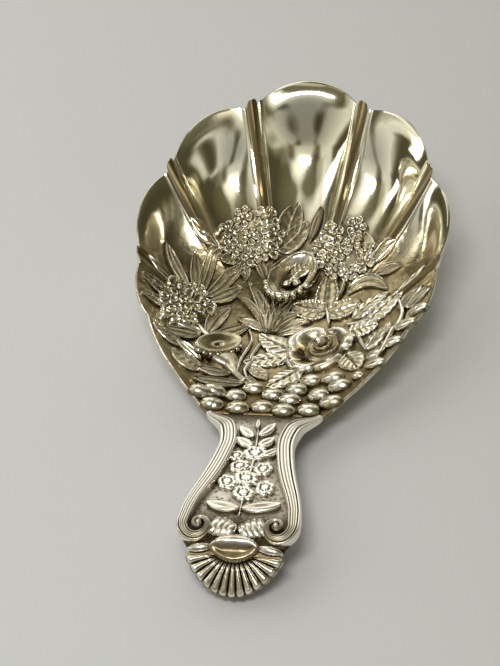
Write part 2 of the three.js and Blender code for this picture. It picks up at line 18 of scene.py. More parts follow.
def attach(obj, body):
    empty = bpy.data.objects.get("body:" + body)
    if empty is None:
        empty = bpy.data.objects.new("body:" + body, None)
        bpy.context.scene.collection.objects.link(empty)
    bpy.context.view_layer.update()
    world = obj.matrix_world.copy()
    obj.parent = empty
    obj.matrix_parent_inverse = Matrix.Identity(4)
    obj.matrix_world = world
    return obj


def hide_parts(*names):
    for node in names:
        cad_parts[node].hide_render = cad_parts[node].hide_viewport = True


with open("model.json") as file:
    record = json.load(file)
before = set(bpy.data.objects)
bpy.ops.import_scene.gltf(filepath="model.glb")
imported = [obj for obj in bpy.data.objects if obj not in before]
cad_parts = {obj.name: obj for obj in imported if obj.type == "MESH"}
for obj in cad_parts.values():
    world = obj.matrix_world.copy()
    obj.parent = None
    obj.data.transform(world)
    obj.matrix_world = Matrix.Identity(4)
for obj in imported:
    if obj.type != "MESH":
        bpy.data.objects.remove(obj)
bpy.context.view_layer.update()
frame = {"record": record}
MM = 0.001

# Bowl, with the sizes of the part. Its flutes spread from the hinge point, at angles from the far end.
HINGE_Y = 5.55
FLOOR_Z = 0.62
FLOOR_FALL = 0.05
HEEL_Y = -13.95
HEEL_Z = 4.6
HEEL_HALF_WIDTH = 8.4
RIM_TILT = 16
BOWL_WALL = 0.9
RIM_TAPER = 0.4
RIM_TAPER_START = 0.85
RIM_STATIONS = [(0, 37.8), (13.7, 37.1), (40, 31.3), (71, 23.7), (96, 20.3), (125, 19.1), (143, 19.7)]
RIB_ANGLES = [13.7, 40, 71]
SIDE_LOBE_END = 100
LOBE_BULGES = [3.2, 2.6, 1.7, 1]
EVEN_LOBES = [1] * len(LOBE_BULGES)
FLUTE_DEPTHS = [2.8, 2.6, 2.2, 1]
FLUTE_START = 0.35
FLUTE_DEEPEST = 0.8
FLUTE_END = 0.1
RIB_DIP = 0.8
ROD_WIDTH = 1.7
ROD_HEIGHT = 0.6
ROD_TIP = 0.7
ROD_START = 0.55
ROD_GROWTH = 0.12
# The ridge that edges each flute beside a rod, placed in half widths of the rod.
CUSP = (0.22, 1.5, 0.3)
# The flare of each lobe's lip, its share in each lobe, and its section from where it starts to the edge.
LIP_FLARE = 2.2
LIP_SIZES = [1, 0.6, 0.5, 0.2]
LIP_START = 0.84
LIP_CREST = 0.6
LIP_ROLL = 0.6
LIP_ROLL_END = 1.1
LIP_FALL = 0.46
ROD_STAIN_POWER = 0.4
RIM_TONE = 1
# Painted shade under the overhanging beads: on the heel's edge of the rim, and on the floor near the heel,
# fading out over its reach.
HEEL_TONE = -0.6
HEEL_CORNER = 4
HEEL_SHADE = 0.75
HEEL_SHADE_REACH = (4, 12)
# Grid of the bowl: columns for each flute and each rod, then for the side, the wall and the heel.
ROD_ZONE = 2.3
FLUTE_COLUMNS = 30
REST_COLUMNS = [26, 44, 16]
RIM_SHARE = 0.985
INSIDE_SHARES = np.r_[np.linspace(0.03, 0.5, 24), np.linspace(0.52, RIM_SHARE, 62)]
OUTSIDE_SHARES = np.r_[np.linspace(RIM_SHARE, 0.5, 34), np.linspace(0.47, 0.04, 16)]
RIM_STEPS = 11

# Handle, with the sizes of the part. Distances along it run from the heel.
HANDLE_RISE = 4
HANDLE_THICK = 1.9
HANDLE_LENGTH = 27.2
DROOP_RUN = 3.2
DROOP = 0.065
EDGE_STATIONS = [(0, 0), (0.11, 2.1), (0.24, 3), (0.37, 2.7), (0.53, 1.8), (0.7, 0.6), (0.83, 0),
                 (0.92, 0.2), (1, 1.6)]
PLATE_BULGE = 0.25
PLATE_UNDERCUT = 1.5
PLATE_ROWS = 90
PLATE_COLUMNS = 41
PLATE_SIDE_STEPS = 15
# Painted shade on the plate, full at the heel and at the terminal end, fading out over these distances from
# each.
PLATE_TONE = -1
PLATE_SHADE_FRONT = 4
PLATE_SHADE_END = (3.5, 8)
TONGUE_LENGTH = 5
TONGUE_ROOT = 2
TONGUE_HALF_WIDTH = 4.5
TONGUE_THICK = 1.2
TONGUE_TAPER = 0.6
TONGUE_SINK = 0.2
TONGUE_LOWEST = 0.2
TONGUE_SEAT_LOWEST = 0.3
TONGUE_ROWS = 24
TONGUE_COLUMNS = 25
SOLDER_GAP = 0.3
BORDER_WIDTH = 2.5
BORDER_HEIGHT = 1.25
BORDER_START = 0.1
BORDER_FRONT = 4
BORDER_FRONT_SHARE = 0.3
BORDER_TAPER_START = 12
BORDER_ROWS = 120
BORDER_COLUMNS = 41
BORDER_BLUR = 15
# Steps down across a border, as drop, start and end, and the grooves between its threads.
BORDER_STEPS = [(0.1, -0.6, -0.5), (0.14, 0.4, 0.5)]
THREAD_GROOVES = [(0.24, -0.6, 0.06), (0.08, -0.2, 0.06), (0.08, 0.15, 0.06), (0.24, 0.5, 0.06)]
VOLUTE_X = HEEL_HALF_WIDTH - 3.15
VOLUTE_S = HANDLE_LENGTH - 2.6
VOLUTE_REACH = 2.65
VOLUTE_START = -0.68
VOLUTE_TURNS = 1.55
VOLUTE_SHRINK = 0.193
VOLUTE_FILL = 0.7
VOLUTE_LIFT = 0.45
VOLUTE_EYE = 1.3
VOLUTE_ROWS = 190
# Share of the threads that is left at the eye, and the level that they sink to, in heights of the border.
VOLUTE_THREADS = 0.35
VOLUTE_LEVEL = 0.75
CARTOUCHE_PAST_END = 0.3
CARTOUCHE_RADII = (3.6, 1.65)
CARTOUCHE_HEIGHT = 1.3
CARTOUCHE_LIP = (0.42, -0.4, 0.42)
CARTOUCHE_DISH = (0.36, 0.25, 0.4)
CARTOUCHE_DISH_END = 0.6
# Painted highlight on the lip and painted shade on the dished side, with the range over which one falls to
# the other.
CARTOUCHE_TONES = (0.9, -0.4)
CARTOUCHE_TONE_FALL = (-0.25, 0.05)
CARTOUCHE_GRID = (30, 96)
FAN_INSET = 2.2
FAN_RADIUS = 7.6
FAN_HALF_ANGLE = 62
FAN_THICK = 1.2
FAN_SCALLOP = 0.97
FAN_RIBS = 13
FAN_RIB_HEIGHT = 0.7
FAN_RIB_POWER = 0.36
FAN_RIB_RISE = 0.3
FAN_RIB_ROOT = 0.7
FAN_RIB_COLUMNS = 12
FAN_ROWS = 30
FAN_ROUNDING = 0.5
FAN_ROUNDING_START = 0.86
FAN_ROOT_HALF_WIDTH = 2.6
FAN_ROOT_PAST_END = 1.1
FAN_ROOT_BOW = 0.5
FAN_STAIN = 1
FAN_TONE = -0.15
FAN_GROUND_TONE = -0.9
# The roll on each shoulder of the fan: base and tip, as x and distance past the plate's end, and width.
FAN_SHOULDER = ((2.9, 0.1), (6.5, 0.6), 1.1)

# How deep the foot of a raised form is sunk in the metal that carries it.
ROOT_DEPTH = 0.45
# Wear is judged over this many cells of a form's grid to each side, and is full at this height in it.
RUB_CELLS = 3
RUB_DEPTH = 0.1
# Step over which a surface's slope is taken.
SLOPE_STEP = 0.4
# How the edge of a form rolls off: the share of its squared height that is lost, and the power of the curve.
LEAF_EDGE = (0.85, 12)
FLAT_EDGE = (0.9, 6)
STEM_EDGE = (0.9, 2)
HORN_EDGE = (0.85, 2)
TONGUE_EDGE = (0.85, 6)
BORDER_EDGE = (0.8, 12)
FLORET_EDGE = (0.7, 10)
WORN_EDGE = (0.8, 10)
CARTOUCHE_EDGE = (0.6, 10)
DOME_POWERS = (2.6, 0.6)


class LeafKind(NamedTuple):
    """Sizes of a kind of leaf. Places and widths across it are in shares of its half width."""
    base_power: float
    tip_power: float
    rows: int
    columns: int
    tone: float
    body: float
    swell: float = 0
    sag: float = 0
    veins: float = 0
    edge: float = 0
    beading: float = 0
    edge_place: float = 0.88
    edge_width: float = 0.1
    midrib: float = 0
    midrib_width: float = 0.09
    toothed: bool = False


LEAF_KINDS = {
    "lance": LeafKind(0.75, 0.75, 34, 31, 0.12, body=0.28, swell=0.16, edge=0.24, edge_place=0.86,
                      edge_width=0.15, midrib=0.22, midrib_width=0.12),
    "blade": LeafKind(0.5, 0.85, 36, 21, 0, body=0.24, swell=0.22, edge=0.26, edge_place=0.82,
                      edge_width=0.2),
    "serrated": LeafKind(0.45, 0.7, 61, 29, 0.45, body=0.42, swell=0.26, sag=0.14, veins=0.05, midrib=-0.2,
                         toothed=True),
    "notched": LeafKind(0.45, 0.7, 61, 31, 0.12, body=0.34, swell=0.1, veins=0.025, edge=0.24, beading=0.1,
                        edge_width=0.13, midrib=0.24, midrib_width=0.1, toothed=True),
    "broad": LeafKind(0.55, 0.75, 43, 31, 0, body=0.24, swell=0.12, veins=0.025, edge=0.12, midrib=0.12),
    "bud": LeafKind(0.6, 0.6, 26, 15, 0.25, body=0.12, swell=0.75),
    "flat": LeafKind(0.7, 0.7, 28, 13, 0.5, body=0.72, midrib=-0.12),
}
LEAF_TIP_HALF = 0.06
BUD_MARGIN = 0.02
SERRATIONS = 5
VEIN_SLANT = 0.22
TOOTH_ROOT = 0.91
TOOTH_DEPTH = 0.11
TOOTH_POWER = 0.7
STEM_SIZE = (0.7, 0.75)
STEM_END = 0.35
STEM_MARGIN = 0.03
STEM_STEPS = 14
STEM_COLUMNS = 9
HORN_STEPS = 18
HORN_COLUMNS = 15
HORN_TAPER_END = 0.8
HORN_FALL = 0.35
DISC_GRID = (14, 60)
BED_EDGE = 0.3
BED_HEIGHT = 0.6
# Berries, as x and distance from the heel.
BEADS = [(-7.9, 1.9), (-4.1, 1.2), (-0.6, 1.7), (2.6, 0.9), (6.2, 1.3), (9.2, 2.9), (-9.9, 3.9), (-5.2, 5),
         (3, 4.4), (7, 5.6), (10, 6.7), (-8.2, 5.2), (-2.8, 7.4), (0.3, 5.7), (3.6, 7.5), (5.3, 9.8),
         (8.7, 9.4)]
BEAD_RADII = (1.8, 1.3)
BEAD_HEIGHT = 1.3
# Beads are brighter all over, as rubbed wear and a painted highlight.
BEAD_TONE = 0.3
BEAD_GRID = (12, 36)

# Florets, with round petals. Places in one are in shares of its radius.
FLORET_RADIUS = 1.85
FLORET_PETALS = 5
FLORET_BODY = 0.6
FLORET_EYE = 0.36
FLORET_EYE_RADIUS = 0.2
FLORET_TURN = 31
FLORET_TONE = 0.3
FLORET_GRID = (22, 90)
PETAL_PLACE = 0.58
PETAL_RADIUS = 0.42
PETAL_START = 0.5
PETAL_RIM = (0.32, 0.8, 0.24)
PETAL_CLEFT = (0.4, 0, 0.06)

# Flowers of the handle, worn flat.
WORN_PETALS = 6
WORN_HEIGHT = 0.6
WORN_SQUASH = 0.85
WORN_NOTCH = 0.16
WORN_NOTCH_POWER = 0.7
WORN_VALLEY = 0.08
WORN_VALLEY_START = (0.6, 0.9)
WORN_RING = (0.26, 0.46, 0.07)
WORN_TURN = 23
WORN_TONE = 0.7
WORN_GRID = (20, 72)

# Rose: turn, half spread, inner and outer reach, inner and outer height and tone of each petal. The tones
# paint the petals towards the upper left brighter, as a highlight, and those towards the right darker, as
# shade.
ROSE_CENTRE = (5.5, -2.3)
ROSE_PETALS = [
    (132, 50, 1.5, 5.5, (0.6, 1.9), 0.7), (196, 30, 1.5, 4.9, (0.5, 1.2), -0.1),
    (240, 34, 1.5, 5.2, (0.5, 1.3), 0.1), (300, 42, 1.5, 4.9, (0.5, 1), -0.4),
    (28, 44, 1.5, 5.6, (0.5, 1.6), -0.3), (120, 56, 1, 4.2, (1.4, 2.5), 0.35),
]
ROSE_PETAL_ROWS = 19
ROSE_PETAL_COLUMNS = 27
ROSE_PETAL_CLIMB = (0.1, 0.8)
ROSE_PETAL_ROLL = 0.45
ROSE_PETAL_ROLL_START = 0.86
ROSE_PETAL_LEAN = 0.1
# How far the corners of a petal draw in, as a share of its reach, and how far they drop.
ROSE_CORNER_CUT = 0.22
ROSE_CORNER_DROP = 0.3
# The rolled heart: its middle, radii and height, its turns, the height of an edge in it and where they start.
ROSE_HEART = ((6.6, -2.9), (3.1, 3.4), 2.1)
ROSE_ROLLS = 3.6
ROSE_ROLL_HEIGHT = 0.6
ROSE_ROLL_END = 0.9
ROSE_HEART_TURN = 40
ROSE_HEART_TONE = -0.2
ROSE_HEART_GRID = (60, 110)


class Cup(NamedTuple):
    """An open flower: its oval, its section from the middle to the rolled lip, and the beads on the lip."""
    centre: tuple
    radii: tuple
    turn: float
    floor: float
    lip: float
    climb: tuple
    rim: tuple
    pit: float
    roll: float
    roll_start: float
    tones: tuple
    tone_climb: tuple
    beads: int
    bead_arc: tuple
    bead_radius: float
    bead_height: float
    bead_level: float
    bead_tone: float
    grid: tuple


# The tones run from the inside to the lip: painted shade inside each cup, and a painted highlight on the
# bell's lip and its beads.
BELL = Cup(
    centre=(-0.3, 13.4), radii=(4.9, 3.2), turn=45, floor=0.3, lip=1.9, climb=(0.25, 0.95),
    rim=(0.2, 0.94, 0.035), pit=0, roll=1.1, roll_start=0.96, tones=(-0.1, 0.4), tone_climb=(0.2, 0.7),
    beads=9, bead_arc=(150, 275), bead_radius=0.58, bead_height=0.55, bead_level=1.55, bead_tone=0.6,
    grid=(34, 96))
TRUMPET = Cup(
    centre=(-9.7, -3.6), radii=(4.1, 2.1), turn=43, floor=1, lip=1.5, climb=(0.3, 0.88),
    rim=(0, 1, 1), pit=0.5, roll=0.6, roll_start=0.93, tones=(-0.4, 0), tone_climb=(0.4, 0.85),
    beads=8, bead_arc=(200, 320), bead_radius=0.42, bead_height=0.4, bead_level=0.8, bead_tone=BEAD_TONE,
    grid=(26, 72))
PIT_FALL = (0.2, 0.05)
BELL_PETAL_LEVEL = 0.75
TRUMPET_TUBE = [(-9, -4.6), (-7.2, -6.6), (-6.2, -8.6), (-4.6, -10)]
TRUMPET_TUBE_WIDTHS = (4.4, 0.9)
TRUMPET_TUBE_HEIGHT = 1.2

# Layout of the bowl, from the hinge point. A leaf is its kind, base, tip, width and bow to the left. A bed of
# florets is its middle and its radii.
BELL_PETALS = [
    ("broad", (-0.6, 13.8), (2.6, 16.4), 2.6), ("bud", (-0.8, 12.8), (0.8, 13.8), 1),
    ("bud", (-1.9, 12), (-0.5, 12.6), 0.9), ("bud", (-0.2, 12.2), (1, 12.8), 0.8),
]
BELL_LEAVES = {"leaves": [
    ("blade", (-3.3, 2.5), (-10, 9.4), 1.3, -1.4), ("lance", (-3.6, 2.7), (-7.8, 4.4), 1.9, -0.3),
    ("lance", (-3.2, 2.5), (-7.2, 12), 1.9, -0.9), ("lance", (-3, 2.5), (-4.6, 11.4), 2, -0.5),
    ("lance", (-2.8, 2.5), (-2.1, 10.2), 2, 0.3), ("lance", (-2.5, 2.5), (0.4, 10), 2.1, 0.8),
    ("lance", (-2.2, 2.5), (1.7, 7.2), 2, 0.9), ("lance", (-4.6, 12.4), (1.2, 18.6), 1.8, 0.7),
    ("lance", (-1.6, 2.6), (3.4, 5.4), 1.9, 0.7), ("lance", (-1.2, 2.2), (4.2, 3.2), 1.6, 0.5),
]}
TREFOIL = {"leaves": [
    ("notched", (5.5, 7), (5.3, 14.2), 4), ("notched", (5.8, 7.4), (0, 8.8), 4.2, 0.4),
    ("notched", (5.9, 6.6), (11, 8), 3.8, -0.3),
], "stems": [[(5.6, 7.6), (6, 6), (6.4, 3.8)]]}
ROSE_LEFT = {"leaves": [
    ("serrated", (2.2, -1.8), (-4.2, 2), 4.4, 0.3), ("serrated", (0.8, -3.4), (-5.5, -5.6), 3.4, -0.4),
    ("serrated", (2.8, -6.4), (-1, -11.4), 4, 0.3),
], "stems": [[(1.8, -1), (0.9, -3.5), (2, -6.5)]]}
ROSE_RIGHT = {"leaves": [
    ("serrated", (9.6, 1.2), (14.2, 1.6), 3.6, 0.2), ("serrated", (9.8, -4.4), (12.4, -9.6), 3.8, 0.2),
    ("serrated", (13.2, -5), (16, 1.4), 2.8, -0.3), ("serrated", (12.6, 2.8), (17.8, 6), 3.2, 0.3),
    ("serrated", (10.2, 4.2), (15.2, 8.8), 3, 0.3),
], "stems": [[(11, 0.5), (12, -2.1), (13, -4.7)], [(9.5, 3), (11, 2.8), (13, 3)]]}
RIGHT_POSY = {"leaves": [
    ("lance", (12, 14), (15.6, 17), 1.9, 0.3), ("lance", (12.6, 12.5), (16.8, 13.4), 1.8, 0.3),
    ("lance", (8.6, 9.6), (14.8, 9.6), 2.2, 2), ("broad", (9.4, 11), (13, 11.4), 1.8, 0.3),
], "stems": [[(7.9, 13), (7.8, 11), (7.4, 9.6)]], "florets": [
    (8.8, 22), (5.2, 20.5), (3.8, 18.6), (11, 17.2), (10.8, 14.6), (8.9, 13.6), (6.4, 14.4), (4.8, 16.2),
    (8.6, 19.2), (6.8, 17.6),
], "bed": (7.4, 18, 4.6, 4.2)}
LEFT_POSY = {"leaves": [
    ("lance", (-12, 16.2), (-16.6, 18.8), 2, 0.4), ("lance", (-5.8, 16.4), (-9, 14.4), 1.6),
    ("broad", (-9, 16.2), (-12.4, 14), 1.8), ("lance", (-6.6, 16.6), (-4.6, 12.8), 1.7, 0.2),
    ("broad", (-8.4, 16), (-7.6, 12.2), 1.9),
], "florets": [
    (-9.2, 23), (-11.2, 20.4), (-5.6, 22.6), (-4.2, 20.4), (-7.2, 16.4), (-10.4, 17.4), (-4.8, 17.6),
    (-7.7, 19.8),
], "bed": (-7.8, 20, 4.2, 4)}
CENTRE = {"leaves": [
    ("broad", (-2.2, 20), (-0.8, 27), 4, 0.3), ("broad", (-3.4, 18.2), (0.8, 24), 3.6, -0.4),
    ("lance", (1.4, 20.2), (2.9, 26), 1.6),
]}
DAISY = {"leaves": [
    ("lance", (-15.6, 7.4), (-20, 14.4), 1.9, 0.3), ("lance", (-14.8, 7.5), (-15.6, 15), 1.8),
    ("lance", (-13.8, 7.5), (-12, 17), 2.1, 0.6), ("lance", (-13.4, 7), (-8.6, 15.4), 2.2, -0.5),
    ("lance", (-12.6, 6.4), (-8.2, 10.6), 2.2, -0.4), ("broad", (-17.4, 4), (-21.9, 4.6), 2),
    ("lance", (-18, 2), (-21.4, 0.8), 1.8), ("lance", (-16.8, 6.4), (-21.6, 8.4), 1.8, 0.3),
], "florets": [
    (-17.8, 2.2), (-12.8, 4.4), (-14.6, 7.6), (-16.9, 5.4), (-15, 0.8), (-17, 0), (-15, 3.8),
], "bed": (-15.6, 3.6, 3.4, 3.8)}
TRUMPET_LEAVES = {"leaves": [
    ("lance", (-11.6, -1), (-9, 6.6), 2.5, 0.6), ("lance", (-11.2, -1), (-6, 3.6), 2.1, -0.4),
    ("lance", (-12.4, -2.2), (-17.4, -4.6), 2, 0.3), ("lance", (-12.2, -1.2), (-16, -1.4), 1.4, -0.2),
], "stems": [
    [(-13.6, 1), (-12, -1), (-11, -2)], [(-5.8, 2.2), (-5.1, -0.3), (-6, -5.2), (-6, -8.3)],
    [(-3.7, -0.3), (-4.5, -3.4), (-4.6, -5)],
]}
LOWER_LEFT = {"leaves": [
    ("broad", (-10.8, -10.2), (-15.4, -8), 3.2, 0.3), ("lance", (-4.6, -10.4), (-11.8, -13), 2, 0.3),
    ("lance", (-6.8, -8.9), (-11.6, -10.2), 1.9, 0.2), ("broad", (-14.2, -6.4), (-18.8, -3.8), 2.4, 0.3),
    ("lance", (-11.4, -8), (-15.2, -5.6), 1.7), ("broad", (-4.8, -6), (-1.4, -9.2), 2.3, 0.3),
    ("lance", (-5, -8.2), (-2.2, -11.6), 1.7, -0.3),
], "stems": [[(-3.9, -4.3), (-5, -7.2), (-4.4, -9.5)]]}
RIGHT_SPRAY = {"leaves": [
    ("bud", (13.4, -9.4), (16.4, -10.2), 2.2), ("bud", (13.4, -7), (16, -7.7), 2),
    ("bud", (16, -6), (18.6, -6.4), 2), ("bud", (17.2, -2.6), (20.4, -3.6), 2.3),
    ("bud", (18.6, 0.4), (21.8, -0.8), 2.3), ("lance", (17.4, 3), (20.8, 4.8), 2.2, 0.2),
    ("lance", (18.6, 2.4), (22.2, 3), 2.2), ("bud", (11.8, -11), (13.4, -12), 1.6),
    ("lance", (17, 6.4), (20.8, 9.4), 2.4, 0.2),
], "stems": [[(15.4, -9.1), (16.4, -5.5), (17.4, -1.5), (18, 2), (16.8, 6)]]}

# Layout of the handle, as x and share of its length. A flower has a radius, and a leaf has a width.
SPRAY_FLOWERS = [
    (0.1, 0.33, 1.9), (-0.4, 0.53, 1.9), (-0.3, 0.645, 1.8), (-2.9, 0.565, 1.7), (2.5, 0.6, 1.7),
    (1.7, 0.455, 1.6), (-1.7, 0.44, 1.6), (-2.5, 0.36, 1.3),
]
SPRAY_LEAVES = [
    ((-0.7, 0.21), (-2.9, 0.135), 1.7), ((0.1, 0.2), (2, 0.1), 1.6), ((-0.4, 0.14), (-0.5, 0.075), 0.7),
    ((-0.6, 0.285), (-2.9, 0.225), 1.7), ((0.3, 0.28), (2.3, 0.215), 1.7), ((1.2, 0.36), (3.3, 0.3), 1.4),
    ((-0.4, 0.77), (-5, 0.735), 2.1), ((0, 0.77), (5.2, 0.725), 2.1),
]
SPRAY_STEMS = [
    [(-0.2, 0.82), (-0.2, 0.59), (0, 0.37), (-0.3, 0.12)], [(-0.4, 0.55), (-3, 0.565)],
    [(-0.4, 0.55), (2.5, 0.59)], [(0, 0.44), (1.5, 0.45)], [(0, 0.44), (-2, 0.44)],
]
SPRAY_STEM_SIZE = (0.5, 0.4)
# Right-hand acanthus leaflets, measured from the volute's level: base, tip, width and bow.
ACANTHUS = [
    ((4, -1), (3, 2.2), 1.6, 0.5), ((3.3, -1.2), (2.1, 2.1), 1.6, 0.5),
    ((2.6, -1.3), (1.3, 1.7), 1.5, 0.5), ((1.9, -1.3), (0.6, 1), 1.4, 0.4),
]


# Curves

def spline(stations, at):
    """A smooth curve through (position, value) stations, level at the first one."""
    places, values = np.array(stations, float).T
    order = np.arange(len(places))
    after = np.minimum(order + 1, len(places) - 1)
    before = np.maximum(order - 1, 0)
    slopes = (values[after] - values[before]) / (places[after] - places[before])
    slopes[0] = 0
    i = np.clip(np.searchsorted(places, at) - 1, 0, len(places) - 2)
    span = places[i + 1] - places[i]
    u = np.clip((at - places[i]) / span, 0, 1)
    rise = u * u * (3 - 2 * u)
    bend = slopes[i] * u * (1 - u) ** 2 - slopes[i + 1] * u * u * (1 - u)
    return values[i] * (1 - rise) + values[i + 1] * rise + span * bend


def smooth_step(low, high, at):
    u = np.clip((at - low) / (high - low), 0, 1)
    return u * u * (3 - 2 * u)


def hill(at, height, middle, width):
    """A soft ridge."""
    return height * np.exp(-(((at - middle) / width) ** 2))


def arch(u):
    """A bow from 0 to 1 and back."""
    return 4 * u * (1 - u)


def shoulder(v, lost, power):
    """1 across the middle, rolled off towards v = 1."""
    return np.sqrt(1 - lost * v ** power)


def swelling(u, margin):
    """Round at both ends and 1 in the middle, with the ends cut off by a margin."""
    return np.sqrt(np.sin(math.pi * np.clip(u, margin, 1 - margin)))


def dome(q):
    across, up = DOME_POWERS
    return np.clip(1 - q ** across, 0, 1) ** up


def through(points, count):
    """Evenly stepped places on a smooth curve through the points."""
    points = np.array(points, float)
    runs = np.r_[0, np.cumsum(np.hypot(*np.diff(points, axis=0).T))]
    steps = np.linspace(0, runs[-1], count)
    padded = np.vstack([2 * points[0] - points[1], points, 2 * points[-1] - points[-2]])
    i = np.clip(np.searchsorted(runs, steps, side="right") - 1, 0, len(points) - 2)
    u = ((steps - runs[i]) / (runs[i + 1] - runs[i]))[:, None]
    a, b, c, d = padded[i], padded[i + 1], padded[i + 2], padded[i + 3]
    return b + 0.5 * u * (c - a + u * (2 * a - 5 * b + 4 * c - d + u * (3 * (b - c) + d - a)))


def turned(centre, turn, a, b):
    """A place at distances along two axes that are turned round a centre."""
    cosine, sine = math.cos(math.radians(turn)), math.sin(math.radians(turn))
    return centre[0] + a * cosine - b * sine, centre[1] + a * sine + b * cosine


# Surfaces of the bowl and the handle

HEEL_REACH = HINGE_Y - HEEL_Y
HEEL_ANGLE = math.degrees(math.atan2(HEEL_HALF_WIDTH, -HEEL_REACH))
RIM_CURVE = RIM_STATIONS + [(HEEL_ANGLE, math.hypot(HEEL_HALF_WIDTH, HEEL_REACH))]
LOBE_EDGES = [-RIB_ANGLES[0], *RIB_ANGLES, SIDE_LOBE_END]


def rim_radius(angle):
    a = np.abs(angle)
    straight = -HEEL_REACH / np.cos(np.radians(np.maximum(a, HEEL_ANGLE)))
    return np.where(a <= HEEL_ANGLE, spline(RIM_CURVE, a), straight)


def lobe_hump(angle, sizes):
    a = np.abs(angle)
    hump = np.zeros_like(a)
    for size, low, high in zip(sizes, LOBE_EDGES, LOBE_EDGES[1:]):
        u = (a - low) / (high - low)
        hump = np.where((u >= 0) & (u <= 1), size * arch(u), hump)
    return hump


def rod_half_angle(rib):
    return math.degrees(math.asin(ROD_WIDTH / 2 / float(rim_radius(np.array(rib)))))


def beside_rods(angle, section):
    """The highest that a section reaches at an angle. It is given by half widths from the middle of a rod."""
    highest = np.zeros_like(angle)
    for rib in RIB_ANGLES:
        highest = np.maximum(highest, section(np.abs(np.abs(angle) - rib) / rod_half_angle(rib)))
    return highest


def rod_crown(angle):
    """1 along the top of a rib's rod and 0 beside it."""
    return beside_rods(angle, lambda q: np.sqrt(np.clip(1 - q * q, 0, 1)))


def lobe_radius(angle):
    return rim_radius(angle) + lobe_hump(angle, LOBE_BULGES)


def rim_height(angle):
    """The rim lies in a tilted plane, and dips at the ribs."""
    y = HINGE_Y + lobe_radius(angle) * np.cos(np.radians(angle))
    ribbed = 1 - smooth_step(RIB_ANGLES[-1], SIDE_LOBE_END, np.abs(angle))
    dip = RIB_DIP * ribbed * (1 - lobe_hump(angle, EVEN_LOBES))
    return HEEL_Z + math.tan(math.radians(RIM_TILT)) * np.maximum(0, y - HEEL_Y) - dip


def dish_height(x, y):
    """The bowl's inside without its rods."""
    r, angle = np.hypot(x, y - HINGE_Y), np.degrees(np.arctan2(x, y - HINGE_Y))
    reach = lobe_radius(angle)
    t = r / reach
    fall = -FLOOR_FALL * np.cos(np.radians(angle))
    rise = rim_height(angle) - FLOOR_Z - fall * reach
    deep = smooth_step(FLUTE_START, FLUTE_DEEPEST, t) - (1 - FLUTE_END) * smooth_step(FLUTE_DEEPEST, 1, t)
    return FLOOR_Z + fall * r + rise * t * t - lobe_hump(angle, FLUTE_DEPTHS) * deep


def handle_height(x, y):
    s = HEEL_Y - y
    start = HANDLE_LENGTH - DROOP_RUN
    past = np.maximum(0, s - start)
    return HEEL_Z + math.tan(math.radians(HANDLE_RISE)) * np.minimum(s, start) - DROOP * past ** 2


def plate_half_width(s):
    return HEEL_HALF_WIDTH - spline(EDGE_STATIONS, s / HANDLE_LENGTH)


def slopes_of(height, x, y):
    east = (height(x + SLOPE_STEP, y) - height(x - SLOPE_STEP, y)) / (2 * SLOPE_STEP)
    north = (height(x, y + SLOPE_STEP) - height(x, y - SLOPE_STEP)) / (2 * SLOPE_STEP)
    return east, north


def over(height, x, y, lift):
    """Points over places in plan, at a distance square to a surface."""
    x, y, lift = np.broadcast_arrays(*np.atleast_1d(x, y, lift))
    east, north = slopes_of(height, x, y)
    share = lift / np.sqrt(1 + east ** 2 + north ** 2)
    return np.stack([x - east * share, y - north * share, height(x, y) + share], axis=-1)


def in_bowl(x, y, lift):
    """Points over the bowl, laid out from the hinge point."""
    return over(dish_height, x, np.asarray(y) + HINGE_Y, lift)


def along_handle(x, s, lift):
    """Points over the handle, at a distance from the heel."""
    return over(handle_height, x, HEEL_Y - np.asarray(s), lift)


def raised(surface, height):
    """A surface that follows another at a height above it."""
    return lambda x, y, lift: surface(x, y, np.asarray(lift) + height)


# Bodies

